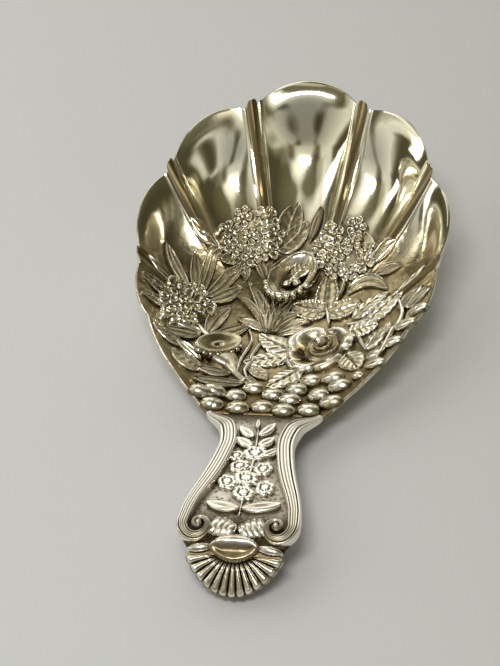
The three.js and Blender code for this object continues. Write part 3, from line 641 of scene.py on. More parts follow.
class Casting:
    """Collects the closed bodies that make one piece."""

    def __init__(self):
        self.points = []
        self.tones = []
        self.faces = []
        self.count = 0

    def add(self, points, faces, tone):
        """Adds a body. Points that its tones leave out are plain."""
        self.points.append(np.asarray(points, float).reshape(-1, 3))
        self.tones.append(np.zeros(len(self.points[-1])))
        self.tones[-1][:np.size(tone)] = np.ravel(tone)
        self.faces += [[self.count + k for k in face] for face in faces]
        self.count += len(self.points[-1])

    def ridge(self, top, left, right, tone):
        """A raised form: a grid over the top, with its long edges brought down to two lines of roots."""
        rows, columns = top.shape[:2]
        points = np.vstack([top.reshape(-1, 3), left, right])
        at = np.arange(rows * columns).reshape(rows, columns)
        low_left = rows * columns + np.arange(rows)
        low_right = low_left + rows
        sheet = np.column_stack([low_left, at, low_right, low_left])
        faces = quads(sheet)
        faces += [[*sheet[0, :-1]][::-1], [*sheet[-1, :-1]]]
        self.add(points, faces, tone)

    def slab(self, top, under, tone):
        """A plate between two grids of the same rows and columns."""
        rows, columns = top.shape[:2]
        at = np.arange(rows * columns).reshape(rows, columns)
        low = at + rows * columns
        faces = quads(at) + quads(low[:, ::-1])
        for upper, lower in ((at[0], low[0]), (at[-1, ::-1], low[-1, ::-1]),
                             (at[::-1, 0], low[::-1, 0]), (at[:, -1], low[:, -1])):
            faces += quads(np.stack([lower, upper]))
        self.add(np.vstack([top.reshape(-1, 3), under.reshape(-1, 3)]), faces, tone)

    def rings(self, rings, tone, first_pole=None, last_pole=None):
        """A closed skin over rings of points, with a pole or a flat cap at each end."""
        rows, columns = rings.shape[:2]
        at = np.arange(rows * columns).reshape(rows, columns)
        wrapped = np.column_stack([at, at[:, 0]])
        points = [rings.reshape(-1, 3)]
        faces = quads(wrapped)
        for pole, ring in ((first_pole, wrapped[0, ::-1]), (last_pole, wrapped[-1])):
            if pole is None:
                faces.append([*ring[:-1]])
            else:
                tip = sum(len(p) for p in points)
                points.append(np.reshape(pole, (1, 3)))
                faces += [[tip, ring[j], ring[j + 1]] for j in range(columns)]
        self.add(np.vstack(points), faces, tone)


def quads(at):
    """Faces of a grid of point numbers."""
    corners = np.stack([at[:-1, :-1], at[:-1, 1:], at[1:, 1:], at[1:, :-1]], axis=-1)
    return corners.reshape(-1, 4).tolist()


def rubbed(heights, before, across, tone):
    """Brightness over a grid: its own tone, and more where it stands proud of the places round it.

    `before` and `across` say how the grid goes on before its first row and beside its columns.
    """
    n = RUB_CELLS
    grown = np.pad(heights, ((n, 0), (0, 0)), mode=before)
    grown = np.pad(grown, ((0, n), (0, 0)))
    grown = np.pad(grown, ((0, 0), (n, n)), mode=across)
    rows, columns = heights.shape
    shifts = range(2 * n + 1)
    around = sum(grown[i:i + rows, j:j + columns] for i in shifts for j in shifts) / len(shifts) ** 2
    return np.clip(tone + (heights - around) / RUB_DEPTH, -1, 1)


# Raised forms. Each takes the surface that it follows and its place in plan.

def band(casting, surface, centre, half, profile, columns, tone=0):
    """A strip along a centre line, with a height for each share along it and across it."""
    heading = np.gradient(centre, axis=0)
    heading /= np.hypot(*heading.T)[:, None]
    u = np.linspace(0, 1, len(centre))[:, None]
    even = np.linspace(-1, 1, columns)[None, :]
    v = (even + np.sin(even * math.pi / 2)) / 2
    x = centre[:, :1] - heading[:, 1:] * half[:, None] * v
    y = centre[:, 1:] + heading[:, :1] * half[:, None] * v
    lift = profile(u, v) + 0 * x
    roots = surface(x[:, [0, -1]], y[:, [0, -1]], -ROOT_DEPTH)
    tones = rubbed(lift, "constant", "constant", tone)
    casting.ridge(surface(x, y, lift), roots[:, 0], roots[:, 1], tones)


def leaf_outline(u, base_power, tip_power):
    peak = base_power / (base_power + tip_power)
    top = peak ** base_power * (1 - peak) ** tip_power
    return u ** base_power * (1 - u) ** tip_power / top


def chased_relief(kind, u, v):
    """A swelling body with slanting veins, a raised or beaded edge and a raised or cut midrib."""
    veins = kind.veins * np.cos(2 * math.pi * SERRATIONS * (u - VEIN_SLANT * np.abs(v)))
    body = kind.body + kind.swell * np.sin(math.pi * u) - kind.sag * v ** 2 + veins
    beads = kind.beading * np.cos(4 * math.pi * SERRATIONS * u)
    edge = hill(np.abs(v), kind.edge + beads, kind.edge_place, kind.edge_width)
    return (body + edge + hill(v, kind.midrib, 0, kind.midrib_width)) * shoulder(v, *LEAF_EDGE)


def bud_relief(kind, u, v):
    return kind.body + kind.swell * np.sqrt(np.clip(1 - v ** 2, 0, 1)) * swelling(u, BUD_MARGIN)


def flat_relief(kind, u, v):
    midrib = hill(v, kind.midrib, 0, kind.midrib_width) * np.sin(math.pi * u)
    return kind.body * shoulder(v, *FLAT_EDGE) + midrib


PLAIN_RELIEFS = {"bud": bud_relief, "flat": flat_relief}


def leaf(casting, surface, name, base, tip, width, bow=0):
    """A leaf from base to tip. Its middle line bows to the left by `bow`."""
    kind = LEAF_KINDS[name]
    relief = PLAIN_RELIEFS.get(name, chased_relief)
    base, tip = np.array(base, float), np.array(tip, float)
    u = np.linspace(0, 1, kind.rows)
    run = tip - base
    side = np.array([-run[1], run[0]]) / np.hypot(*run)
    centre = base + run * u[:, None] + side * (bow * arch(u))[:, None]
    half = LEAF_TIP_HALF + width / 2 * leaf_outline(u, kind.base_power, kind.tip_power)
    if kind.toothed:
        tooth = np.abs(np.sin(math.pi * SERRATIONS * (u - VEIN_SLANT))) ** TOOTH_POWER
        half *= TOOTH_ROOT + TOOTH_DEPTH * tooth
    band(casting, surface, centre, half, lambda u, v: relief(kind, u, v), kind.columns, kind.tone)


def stem(casting, surface, route, size=STEM_SIZE):
    width, height = size
    centre = through(route, STEM_STEPS * len(route))
    share = np.linspace(0, 1, len(centre))
    half = width / 2 * (STEM_END + (1 - STEM_END) * swelling(share, STEM_MARGIN))
    band(casting, surface, centre, half, lambda u, v: height * shoulder(v, *STEM_EDGE), STEM_COLUMNS)


def horn(casting, surface, route, widths, height):
    """A tapering tube, half sunk in the surface."""
    wide, narrow = widths
    centre = through(route, HORN_STEPS * len(route))
    share = np.linspace(0, 1, len(centre))
    half = (wide + (narrow - wide) * smooth_step(0, HORN_TAPER_END, share)) / 2
    band(casting, surface, centre, half, lambda u, v: height * (1 - HORN_FALL * u) * shoulder(v, *HORN_EDGE),
         HORN_COLUMNS)


def disc(casting, surface, at, radii, relief, edge=np.ones_like, turn=0, grid=DISC_GRID, tone=0):
    """A round form. Its height and tone go by share of the radius and angle, and its outline by angle."""
    rows, columns = grid
    theta = np.linspace(0, 2 * math.pi, columns, endpoint=False)[None, :]
    share = np.sin(np.linspace(0, 1, rows + 1) * math.pi / 2)[1:, None]
    reach = share * edge(theta)
    x, y = turned(at, turn, radii[0] * reach * np.cos(theta), radii[1] * reach * np.sin(theta))
    lift = relief(share, theta) + 0 * x
    foot = surface(x[-1:], y[-1:], -ROOT_DEPTH)
    pole = surface(*at, float(np.mean(relief(np.zeros((1, 1)), theta))))
    shade = tone(share, theta) if callable(tone) else tone
    casting.rings(np.vstack([surface(x, y, lift), foot]), rubbed(lift, "edge", "wrap", shade), pole)


def bead(casting, surface, at, radii, height, tone=BEAD_TONE):
    disc(casting, surface, at, radii, lambda q, a: height * dome(q), grid=BEAD_GRID, tone=tone)


def floret(casting, surface, at, lift, turn):
    """A flower of round hollow petals with raised rims, round a small eye."""
    step = 2 * math.pi / FLORET_PETALS

    def from_axis(a):
        """Angle from the middle line of the nearest petal."""
        return (a + step / 2) % step - step / 2

    def edge(a):
        off = from_axis(a)
        return PETAL_PLACE * np.cos(off) + np.sqrt(PETAL_RADIUS ** 2 - (PETAL_PLACE * np.sin(off)) ** 2)

    def relief(q, a):
        off = from_axis(a)
        r = q * edge(a)
        from_middle = np.hypot(r * np.cos(off) - PETAL_PLACE, r * np.sin(off)) / PETAL_RADIUS
        rim = hill(from_middle, *PETAL_RIM)
        cleft = hill(r * np.sin(step / 2 - np.abs(off)), *PETAL_CLEFT)
        eye = FLORET_EYE * np.sqrt(np.clip(1 - (r / FLORET_EYE_RADIUS) ** 2, 0, 1))
        body = FLORET_BODY + (rim - cleft) * smooth_step(FLORET_EYE_RADIUS, PETAL_START, r) + eye
        return lift + body * shoulder(q, *FLORET_EDGE)

    disc(casting, surface, at, (FLORET_RADIUS, FLORET_RADIUS), relief, edge, turn, FLORET_GRID, FLORET_TONE)


def worn_flower(casting, surface, at, radius, turn):
    """A flower polished flat, with a cut ring round its eye."""
    def notch(a):
        return 1 - np.abs(np.cos(WORN_PETALS * a / 2)) ** WORN_NOTCH_POWER

    def relief(q, a):
        valley = WORN_VALLEY * notch(a) ** 2 * smooth_step(*WORN_VALLEY_START, q)
        return WORN_HEIGHT * shoulder(q, *WORN_EDGE) - valley - hill(q, *WORN_RING)

    disc(casting, surface, at, (radius, radius * WORN_SQUASH), relief, lambda a: 1 - WORN_NOTCH * notch(a),
         turn, WORN_GRID, WORN_TONE)


def cup(casting, surface, shape):
    inner, outer = shape.tones

    def relief(q, a):
        wall = shape.floor + (shape.lip - shape.floor) * smooth_step(*shape.climb, q) + hill(q, *shape.rim)
        return wall - shape.roll * smooth_step(shape.roll_start, 1, q) - shape.pit * smooth_step(*PIT_FALL, q)

    # Painted shade inside, rising to the tone at the lip, which on the bell is a painted highlight.
    disc(casting, surface, shape.centre, shape.radii, relief, turn=shape.turn, grid=shape.grid,
         tone=lambda q, a: inner + (outer - inner) * smooth_step(*shape.tone_climb, q))
    for degrees in np.linspace(*shape.bead_arc, shape.beads):
        a, b = np.array(shape.radii) * (math.cos(math.radians(degrees)), math.sin(math.radians(degrees)))
        bead(casting, raised(surface, shape.bead_level), turned(shape.centre, shape.turn, a, b),
             (shape.bead_radius, shape.bead_radius), shape.bead_height, shape.bead_tone)


# Pieces in the bowl

def bowl_columns():
    """Angles of the bowl's grid, close together across each rod and its ridges."""
    edges = [0]
    for rib in RIB_ANGLES:
        zone = ROD_ZONE * rod_half_angle(rib)
        edges += [rib - zone, rib + zone]
    counts = [FLUTE_COLUMNS] * (len(edges) - 1) + REST_COLUMNS
    edges += [SIDE_LOBE_END, HEEL_ANGLE, 180]
    stretches = zip(edges, edges[1:], counts)
    half = np.concatenate([np.linspace(a, b, count, endpoint=False) for a, b, count in stretches])
    return np.concatenate([-np.r_[half[1:], 180][::-1], half])


def bowl():
    angle = bowl_columns()[None, :]
    edge = lobe_radius(angle) + ROD_TIP * rod_crown(angle)
    flare = LIP_FLARE * lobe_hump(angle, EVEN_LOBES) * lobe_hump(angle, LIP_SIZES)
    sine, cosine = np.sin(np.radians(angle)), np.cos(np.radians(angle))

    def base(part):
        x, y = edge * part * sine, HINGE_Y + edge * part * cosine
        into_lip = np.clip((part - LIP_START) / (1 - LIP_START), 0, 1)
        rolled = LIP_ROLL * smooth_step(LIP_CREST, LIP_ROLL_END, into_lip) + LIP_FALL * into_lip
        return x, y, dish_height(x, y) + flare * (smooth_step(0, LIP_CREST, into_lip) - rolled)

    part = INSIDE_SHARES[:, None]
    x, y, height = base(part)
    grown = smooth_step(ROD_START, ROD_START + ROD_GROWTH, part)
    ridges = ROD_HEIGHT * rod_crown(angle) + beside_rods(angle, lambda q: hill(q, *CUSP))
    inside = np.stack([x, y, height + ridges * grown], axis=-1)
    # Painted shade round the beads near the heel, joined with the real stains on the rods.
    heel_shade = HEEL_SHADE * (1 - smooth_step(*HEEL_SHADE_REACH, y - HEEL_Y))
    rod_stain_and_heel_shade = np.maximum((rod_crown(angle) * grown) ** ROD_STAIN_POWER, heel_shade)

    part = OUTSIDE_SHARES[:, None]
    x, y, height = base(part)
    east, north = slopes_of(dish_height, x, y)
    thick = BOWL_WALL * (1 - RIM_TAPER * smooth_step(RIM_TAPER_START, 1, part))
    outside = np.stack([x, y, np.maximum(0, height - thick * np.sqrt(1 + east ** 2 + north ** 2))], axis=-1)

    upper, lower = inside[-1], outside[0]
    middle, arm = (upper + lower) / 2, (upper - lower) / 2
    outward = np.stack([sine[0], cosine[0], 0 * sine[0]], axis=-1) * (edge[0] * (1 - RIM_SHARE))[:, None]
    turns = np.linspace(0, math.pi, RIM_STEPS)[1:-1]
    rim = np.stack([middle + arm * math.cos(a) + outward * math.sin(a) for a in turns])
    # The heel's edge gets painted shade under the beads; the rest of the rim is rubbed bright.
    rim_tone = np.where(np.abs(angle) < HEEL_ANGLE - HEEL_CORNER, RIM_TONE, HEEL_TONE)
    tones = np.concatenate([-rod_stain_and_heel_shade, np.repeat(rim_tone, len(rim), axis=0)])
    casting = Casting()
    casting.rings(np.concatenate([inside, rim, outside]), tones, (0, HINGE_Y, FLOOR_Z), (0, HINGE_Y, 0))
    return casting


def leafy(leaves, stems=(), florets=(), bed=None):
    """A casting of leaves and stems, with flowers heaped on a bed."""
    casting = Casting()
    if bed:
        disc(casting, in_bowl, bed[:2], bed[2:], lambda q, a: BED_EDGE + BED_HEIGHT * (1 - q ** 2))
    for route in stems:
        stem(casting, in_bowl, route)
    for row in leaves:
        leaf(casting, in_bowl, *row)
    for k, (x, y) in enumerate(florets):
        off_middle = math.hypot((x - bed[0]) / bed[2], (y - bed[1]) / bed[3])
        floret(casting, in_bowl, (x, y), BED_HEIGHT * max(0, 1 - off_middle ** 2), FLORET_TURN * k)
    return casting


def rose_petal(casting, turn, spread, inner, outer, heights, tone):
    """A cupped petal that spans a sector, with its lip rolled over."""
    v = np.linspace(-1, 1, ROSE_PETAL_COLUMNS)[None, :]
    u = np.linspace(0, 1, ROSE_PETAL_ROWS)[:, None]
    angle = np.radians(turn + spread * v)
    reach = inner + (outer * (1 - ROSE_CORNER_CUT * v ** 4) - inner) * u
    x, y = ROSE_CENTRE[0] + reach * np.cos(angle), ROSE_CENTRE[1] + reach * np.sin(angle)
    climb = heights[0] + (heights[1] - heights[0]) * smooth_step(*ROSE_PETAL_CLIMB, u)
    roll = ROSE_PETAL_ROLL * smooth_step(ROSE_PETAL_ROLL_START, 1, u)
    lift = climb - roll - ROSE_CORNER_DROP * v ** 4 + ROSE_PETAL_LEAN * v
    casting.slab(in_bowl(x, y, lift), in_bowl(x, y, -ROOT_DEPTH), rubbed(lift, "edge", "edge", tone))


def rose():
    """Open petals round a dome of petals that are rolled round each other, each with a sharp edge."""
    casting = Casting()
    # Petals facing the upper left are painted light, and those facing right painted shade.
    for row in ROSE_PETALS:
        rose_petal(casting, *row)
    at, radii, height = ROSE_HEART

    def relief(q, a):
        into_petal = (ROSE_ROLLS * q - a / (2 * math.pi)) % 1
        return height * dome(q) + ROSE_ROLL_HEIGHT * into_petal ** 2 * (1 - smooth_step(ROSE_ROLL_END, 1, q))

    disc(casting, in_bowl, at, radii, relief, turn=ROSE_HEART_TURN, grid=ROSE_HEART_GRID,
         tone=ROSE_HEART_TONE)
    return casting


def bell_flower():
    casting = leafy(**BELL_LEAVES)
    cup(casting, in_bowl, BELL)
    for row in BELL_PETALS:
        leaf(casting, raised(in_bowl, BELL_PETAL_LEVEL), *row)
    return casting


def trumpet_flower():
    casting = leafy(**TRUMPET_LEAVES)
    horn(casting, in_bowl, TRUMPET_TUBE, TRUMPET_TUBE_WIDTHS, TRUMPET_TUBE_HEIGHT)
    cup(casting, in_bowl, TRUMPET)
    return casting


def bead_border():
    casting = Casting()
    for x, reach in BEADS:
        bead(casting, in_bowl, (x, reach - HEEL_REACH), BEAD_RADII, BEAD_HEIGHT)
    return casting


# Pieces of the handle

def handle():
    """The plate, and the tongue that laps under the bowl's heel."""
    casting = Casting()
    s = np.linspace(SOLDER_GAP, HANDLE_LENGTH, PLATE_ROWS)[:, None]
    reach = plate_half_width(s) - PLATE_BULGE
    across = np.linspace(-1, 1, PLATE_COLUMNS)[None, :]
    down = np.linspace(0, 1, PLATE_SIDE_STEPS)[None, 1:-1]
    side = reach + PLATE_BULGE * np.sin(math.pi * down) - PLATE_UNDERCUT * down ** 2
    x = np.hstack([across * reach, side, -across * (reach - PLATE_UNDERCUT), -side[:, ::-1]])
    drop = HANDLE_THICK * np.hstack([0 * across, down, 1 + 0 * across, down[:, ::-1]])
    y = HEEL_Y - s + 0 * x
    # Painted shade at both ends of the plate, clear in between.
    clear = smooth_step(0, PLATE_SHADE_FRONT, s) * smooth_step(*PLATE_SHADE_END, HANDLE_LENGTH - s)
    casting.rings(np.stack([x, y, handle_height(x, y) - drop], axis=-1), PLATE_TONE * (1 - clear) + 0 * x)

    reach = np.linspace(-TONGUE_ROOT, TONGUE_LENGTH, TONGUE_ROWS)[:, None]
    across = np.linspace(-1, 1, TONGUE_COLUMNS)[None, :]
    taper = 1 - TONGUE_TAPER * np.clip(reach / TONGUE_LENGTH, 0, 1) ** 2
    x = TONGUE_HALF_WIDTH * taper * across
    y = HEEL_Y + reach + 0 * x
    seat = np.maximum(TONGUE_SEAT_LOWEST, dish_height(x, np.maximum(y, HEEL_Y)) - BOWL_WALL)
    under = np.maximum(TONGUE_LOWEST, seat - TONGUE_THICK * taper * shoulder(across, *TONGUE_EDGE))
    casting.slab(np.stack([x, y, seat + TONGUE_SINK], axis=-1), np.stack([x, y, under], axis=-1), 0)
    return casting


def thread_relief(v):
    """Threads of a border from its outer edge, v = -1, to its inner one."""
    step = 1 - sum(drop * smooth_step(start, end, v) for drop, start, end in BORDER_STEPS)
    grooves = sum(hill(v, *groove) for groove in THREAD_GROOVES)
    return BORDER_HEIGHT * step * shoulder(v, *BORDER_EDGE) - grooves


def scroll_border(side):
    """A reeded strip along one edge of the plate, curled up at its end."""
    meet = VOLUTE_S + VOLUTE_REACH * math.sin(VOLUTE_START)
    s = np.linspace(BORDER_START, meet, BORDER_ROWS, endpoint=False)
    grown = BORDER_FRONT_SHARE + (1 - BORDER_FRONT_SHARE) * smooth_step(0, BORDER_FRONT, s)
    narrowing = (BORDER_WIDTH - VOLUTE_FILL * VOLUTE_REACH) * smooth_step(BORDER_TAPER_START, meet, s)
    width = (BORDER_WIDTH - narrowing) * grown
    straight = np.column_stack([plate_half_width(s) - width / 2, s])
    turn = np.linspace(0, VOLUTE_TURNS * 2 * math.pi, VOLUTE_ROWS)
    reach = VOLUTE_REACH * np.exp(-VOLUTE_SHRINK * turn)
    angle = VOLUTE_START + turn
    curl = np.column_stack([VOLUTE_X + reach * np.cos(angle), VOLUTE_S + reach * np.sin(angle)])

    # The centre line and half width are blurred where the curl takes over.
    line = np.column_stack([np.vstack([straight, curl]), np.r_[width, VOLUTE_FILL * reach] / 2])
    padded = np.pad(line, ((BORDER_BLUR // 2,) * 2, (0, 0)), mode="edge")
    blur = np.ones(BORDER_BLUR) / BORDER_BLUR
    blurred = np.column_stack([np.convolve(column, blur, mode="valid") for column in padded.T])
    near = hill(np.arange(len(line)), 1, len(s), BORDER_BLUR)[:, None]
    line = blurred * near + line * (1 - near)
    line[:, 0] *= side

    climb = np.r_[0 * s, VOLUTE_LIFT * turn / turn[-1]][:, None]
    left = VOLUTE_THREADS + (1 - VOLUTE_THREADS) * reach / VOLUTE_REACH
    threads = np.r_[1 + 0 * s, left][:, None]
    front = np.r_[grown, 1 + 0 * turn][:, None]
    level = VOLUTE_LEVEL * BORDER_HEIGHT

    def relief(u, v):
        return (level + (thread_relief(-v * side) - level) * threads + climb) * front

    casting = Casting()
    band(casting, along_handle, line[:, :2], line[:, 2], relief, BORDER_COLUMNS)
    eye = VOLUTE_EYE * float(reach[-1])
    bead(casting, along_handle, (side * VOLUTE_X, VOLUTE_S), (eye, eye), BORDER_HEIGHT + VOLUTE_LIFT)
    return casting


def acanthus_leaf(side):
    casting = Casting()
    for base, tip, width, bow in ACANTHUS:
        ends = [(side * x, VOLUTE_S - up) for x, up in (base, tip)]
        leaf(casting, along_handle, "bud", *ends, width, -side * bow)
    return casting


def handle_spray():
    casting = Casting()
    for route in SPRAY_STEMS:
        stem(casting, along_handle, [(x, share * HANDLE_LENGTH) for x, share in route], SPRAY_STEM_SIZE)
    for base, tip, width in SPRAY_LEAVES:
        ends = [(x, share * HANDLE_LENGTH) for x, share in (base, tip)]
        leaf(casting, along_handle, "flat", *ends, width)
    for k, (x, share, radius) in enumerate(SPRAY_FLOWERS):
        worn_flower(casting, along_handle, (x, share * HANDLE_LENGTH), radius, WORN_TURN * k)
    return casting


def cartouche():
    """A pointed oval with a full lip towards the bowl and a dished face below it."""
    # The lip side is painted bright as a highlight, and the dished side dark as painted shade.
    bright, dark = CARTOUCHE_TONES

    def edge(a):
        rise = np.abs(np.sin(a))
        return 2 / (rise + np.sqrt(rise ** 2 + 4 * np.cos(a) ** 2))

    def down(q, a):
        return q * edge(a) * np.sin(a)

    def relief(q, a):
        dish = hill(down(q, a), *CARTOUCHE_DISH) * (1 - smooth_step(CARTOUCHE_DISH_END, 1, q))
        return (CARTOUCHE_HEIGHT + hill(down(q, a), *CARTOUCHE_LIP) - dish) * shoulder(q, *CARTOUCHE_EDGE)

    casting = Casting()
    disc(casting, along_handle, (0, HANDLE_LENGTH + CARTOUCHE_PAST_END), CARTOUCHE_RADII, relief, edge,
         grid=CARTOUCHE_GRID,
         tone=lambda q, a: bright + (dark - bright) * smooth_step(*CARTOUCHE_TONE_FALL, down(q, a)))
    return casting


def terminal_shell():
    """A dark plate, with ribs that spread from under the cartouche to its round edge."""
    casting = Casting()
    across = np.linspace(-1, 1, FAN_RIBS * FAN_RIB_COLUMNS + 1)[None, :]
    along = np.linspace(0, 1, FAN_ROWS)[:, None]
    angle = np.radians(FAN_HALF_ANGLE * across)
    sine, cosine = np.sin(angle), np.cos(angle)
    apex = HANDLE_LENGTH - FAN_INSET
    inner = (FAN_INSET - SOLDER_GAP) / cosine
    reach = inner + (FAN_RADIUS * FAN_SCALLOP - inner) * along
    x, s = reach * sine, apex + reach * cosine
    casting.slab(along_handle(x, s, 0), along_handle(x, s, -FAN_THICK), FAN_GROUND_TONE + 0 * x)

    crown = np.abs(np.sin(math.pi * FAN_RIBS * (across + 1) / 2)) ** FAN_RIB_POWER
    outer = FAN_RADIUS * (FAN_SCALLOP + (1 - FAN_SCALLOP) * crown)
    root_x = FAN_ROOT_HALF_WIDTH * across
    root_s = HANDLE_LENGTH + FAN_ROOT_PAST_END + FAN_ROOT_BOW * (1 - across ** 2)
    x = root_x + (outer * sine - root_x) * along
    s = root_s + (apex + outer * cosine - root_s) * along
    rounding = FAN_ROUNDING * smooth_step(FAN_ROUNDING_START, 1, along) ** 2
    top = FAN_RIB_HEIGHT * crown * smooth_step(0, FAN_RIB_RISE, along) - rounding
    tones = rubbed(top, "edge", "edge", FAN_TONE - FAN_STAIN * (1 - crown) ** 2)
    casting.slab(along_handle(x, s, top), along_handle(x, s, -FAN_RIB_ROOT), tones)

    base, tip, width = FAN_SHOULDER
    for side in (-1, 1):
        ends = [(side * x, HANDLE_LENGTH + past) for x, past in (base, tip)]
        leaf(casting, along_handle, "bud", *ends, width)
    return casting


# Materials. Lengths are in metres, and noise has its scale per metre and its detail.

# Colour and roughness where the tone is below 0: real stains on the rods and the fan's grooves, and painted
# shade at the heel, the cartouche's dish, inside the cups and on the rose's right-hand petals.
STAIN_AND_SHADE_COLOUR = (0.165, 0.12, 0.05)
STAIN_AND_SHADE_ROUGHNESS = 0.42
# Colour and roughness where the tone is above 0: rubbed wear, and painted highlights on the cartouche's lip,
# the bell's lip, the beads and the rose's upper left petals.
RUBBED_AND_HIGHLIGHT_COLOUR = (0.97, 0.95, 0.86)
RUBBED_AND_HIGHLIGHT_ROUGHNESS = 0.25
# Bright and tarnished colour of a polish, and its roughness.
BOWL_POLISH = ((0.92, 0.9, 0.77), (0.87, 0.81, 0.6), 0.08)
HANDLE_POLISH = ((0.96, 0.93, 0.86), (0.92, 0.87, 0.76), 0.3)
BOWL_PATINA = (0.1, 0.07, 0.03)
HANDLE_PATINA = (0.12, 0.085, 0.045)
# Colour and roughness of each dull ground, and how much darker its mottling is.
CHASED = ((0.66, 0.58, 0.39), 0.24)
CHASED_FLOOR = ((0.45, 0.375, 0.215), 0.3)
TERMINAL_GROUND = ((0.52, 0.44, 0.29), 0.28)
GROUND_SHADE = 0.6
# Middle of a dull ground, how far it is dull all over, and where the bare polish starts.
ORNAMENT_SPREAD = ((0, -0.006, 0.004), 0.03, 0.04)
TERMINAL_SPREAD = ((0, -0.044, 0.005), 0.006, 0.013)
# Tarnish in clouds, fine wear, patches touched in use, and the struck texture of chased work.
CLOUDS = (90, 4)
CLOUD_RANGE = (0.35, 0.68)
WEAR = (1400, 5)
WEAR_ROUGHNESS = (0.7, 1.5)
WEAR_BUMP = (0.1, 0.00005)
TOUCHED = (520, 2)
TOUCHED_GROUND = (0.4, 0.62)
TOUCHED_RUB = (0.36, 0.6, 0.3, 1.1)
# Tone from which rubbed wear and painted highlights start to brighten.
RUB_AND_HIGHLIGHT_START = 0.1
STRUCK = (800, 2)
STRUCK_DEPTH = 0.0003
# Strength of the struck texture on the ornament and on the ground under it.
CHASING = 0.3
FLOOR_CHASING = 0.5
# Recesses: their reach, how closed a full patina is, and how open clean metal is, polished and dull.
RECESS_SAMPLES = 6
RECESS_REACH = 0.0026
RECESS_FULL = 0.18
RECESS_CLEAN = (0.85, 0.94)
# Range of the upward part of a face's direction, from the back of the metal to its face.
FACING = (-0.2, 0.1)
# The handle's panel: its dots, their colour and depth, and the colours and roughness between them.
DOT_SCALE = 1700
DOT_RANGE = (0.15, 0.5)
DOT_BUMP = (0.35, 0.00012)
PUNCHED = (0.13, 0.105, 0.07)
MATTED = ((0.4, 0.355, 0.29), (0.74, 0.69, 0.6))
MATTED_ROUGHNESS = (0.3, 0.5)
MATTED_CLOUDS = (260, 4)
MATTED_CLOUD_RANGE = (0.38, 0.66)
MATTED_RECESS_REACH = 0.0014
MATTED_RECESS_RANGE = (0.2, 0.8)
PLATE_BACK_ROUGHNESS = 0.16
PLATE_SHADE_COLOUR = (0.06, 0.045, 0.022)
# Sockets of a colour mix.
MIX_COLOURS = slice(6, 8)
MIX_RESULT = 2


class Graph:
    """The nodes of a material or of the world, filled in reading order."""

    def __init__(self, owner):
        owner.use_nodes = True
        self.tree = owner.node_tree
        self.tree.nodes.clear()

    def put(self, socket, value):
        if isinstance(value, bpy.types.NodeSocket):
            self.tree.links.new(value, socket)
        else:
            socket.default_value = value

    def node(self, kind, settings=None, **inputs):
        made = self.tree.nodes.new("ShaderNode" + kind)
        for key, value in (settings or {}).items():
            setattr(made, key, value)
        for key, value in inputs.items():
            self.put(made.inputs[key.replace("_", " ")], value)
        return made

    def coordinates(self, kind="Object"):
        return self.node("TexCoord").outputs[kind]

    def axes(self, vector):
        return self.node("SeparateXYZ", Vector=vector).outputs

    def noise(self, place, scale, detail):
        return self.node("TexNoise", Vector=place, Scale=scale, Detail=detail).outputs["Fac"]

    def ramp(self, value, stops):
        made = self.node("ValToRGB", Fac=value)
        elements = made.color_ramp.elements
        while len(elements) < len(stops):
            elements.new(0.5)
        for element, (place, colour) in zip(elements, stops):
            element.position = place
            element.color = (*colour, 1)
        return made.outputs["Color"]

    def mix(self, share, first, second):
        """A colour between two colours."""
        made = self.node("Mix", {"data_type": "RGBA"}, Factor=share)
        for socket, colour in zip(made.inputs[MIX_COLOURS], (first, second)):
            self.put(socket, (*colour, 1) if isinstance(colour, tuple) else colour)
        return made.outputs[MIX_RESULT]

    def blend(self, share, first, second):
        """A number between two numbers."""
        return self.node("Mix", Factor=share, A=first, B=second).outputs["Result"]

    def scaled(self, value, low, high, to_low=0, to_high=1):
        """A value carried from one range to another, and kept inside it."""
        return self.node("MapRange", Value=value, From_Min=low, From_Max=high, To_Min=to_low,
                         To_Max=to_high).outputs["Result"]

    def times(self, first, second):
        made = self.node("Math", {"operation": "MULTIPLY", "use_clamp": True})
        self.put(made.inputs[0], first)
        self.put(made.inputs[1], second)
        return made.outputs["Value"]

    def distance(self, place, middle):
        made = self.node("VectorMath", {"operation": "DISTANCE"})
        self.put(made.inputs[0], place)
        self.put(made.inputs[1], middle)
        return made.outputs["Value"]

    def upward(self):
        """1 on faces that look up, and 0 on the back of the metal."""
        normal = self.node("NewGeometry").outputs["True Normal"]
        return self.scaled(self.axes(normal)["Z"], *FACING)

    def openness(self, reach):
        settings = {"samples": RECESS_SAMPLES}
        return self.node("AmbientOcclusion", settings, Distance=reach).outputs["AO"]

    def tone(self):
        return self.node("Attribute", {"attribute_name": "tone"}).outputs["Fac"]

    def bump(self, height, strength, depth, **under):
        made = self.node("Bump", Height=height, Strength=strength, Distance=depth, **under)
        return made.outputs["Normal"]

    def surface(self, **inputs):
        shader = self.node("BsdfPrincipled", **inputs)
        self.node("OutputMaterial", Surface=shader.outputs["BSDF"])


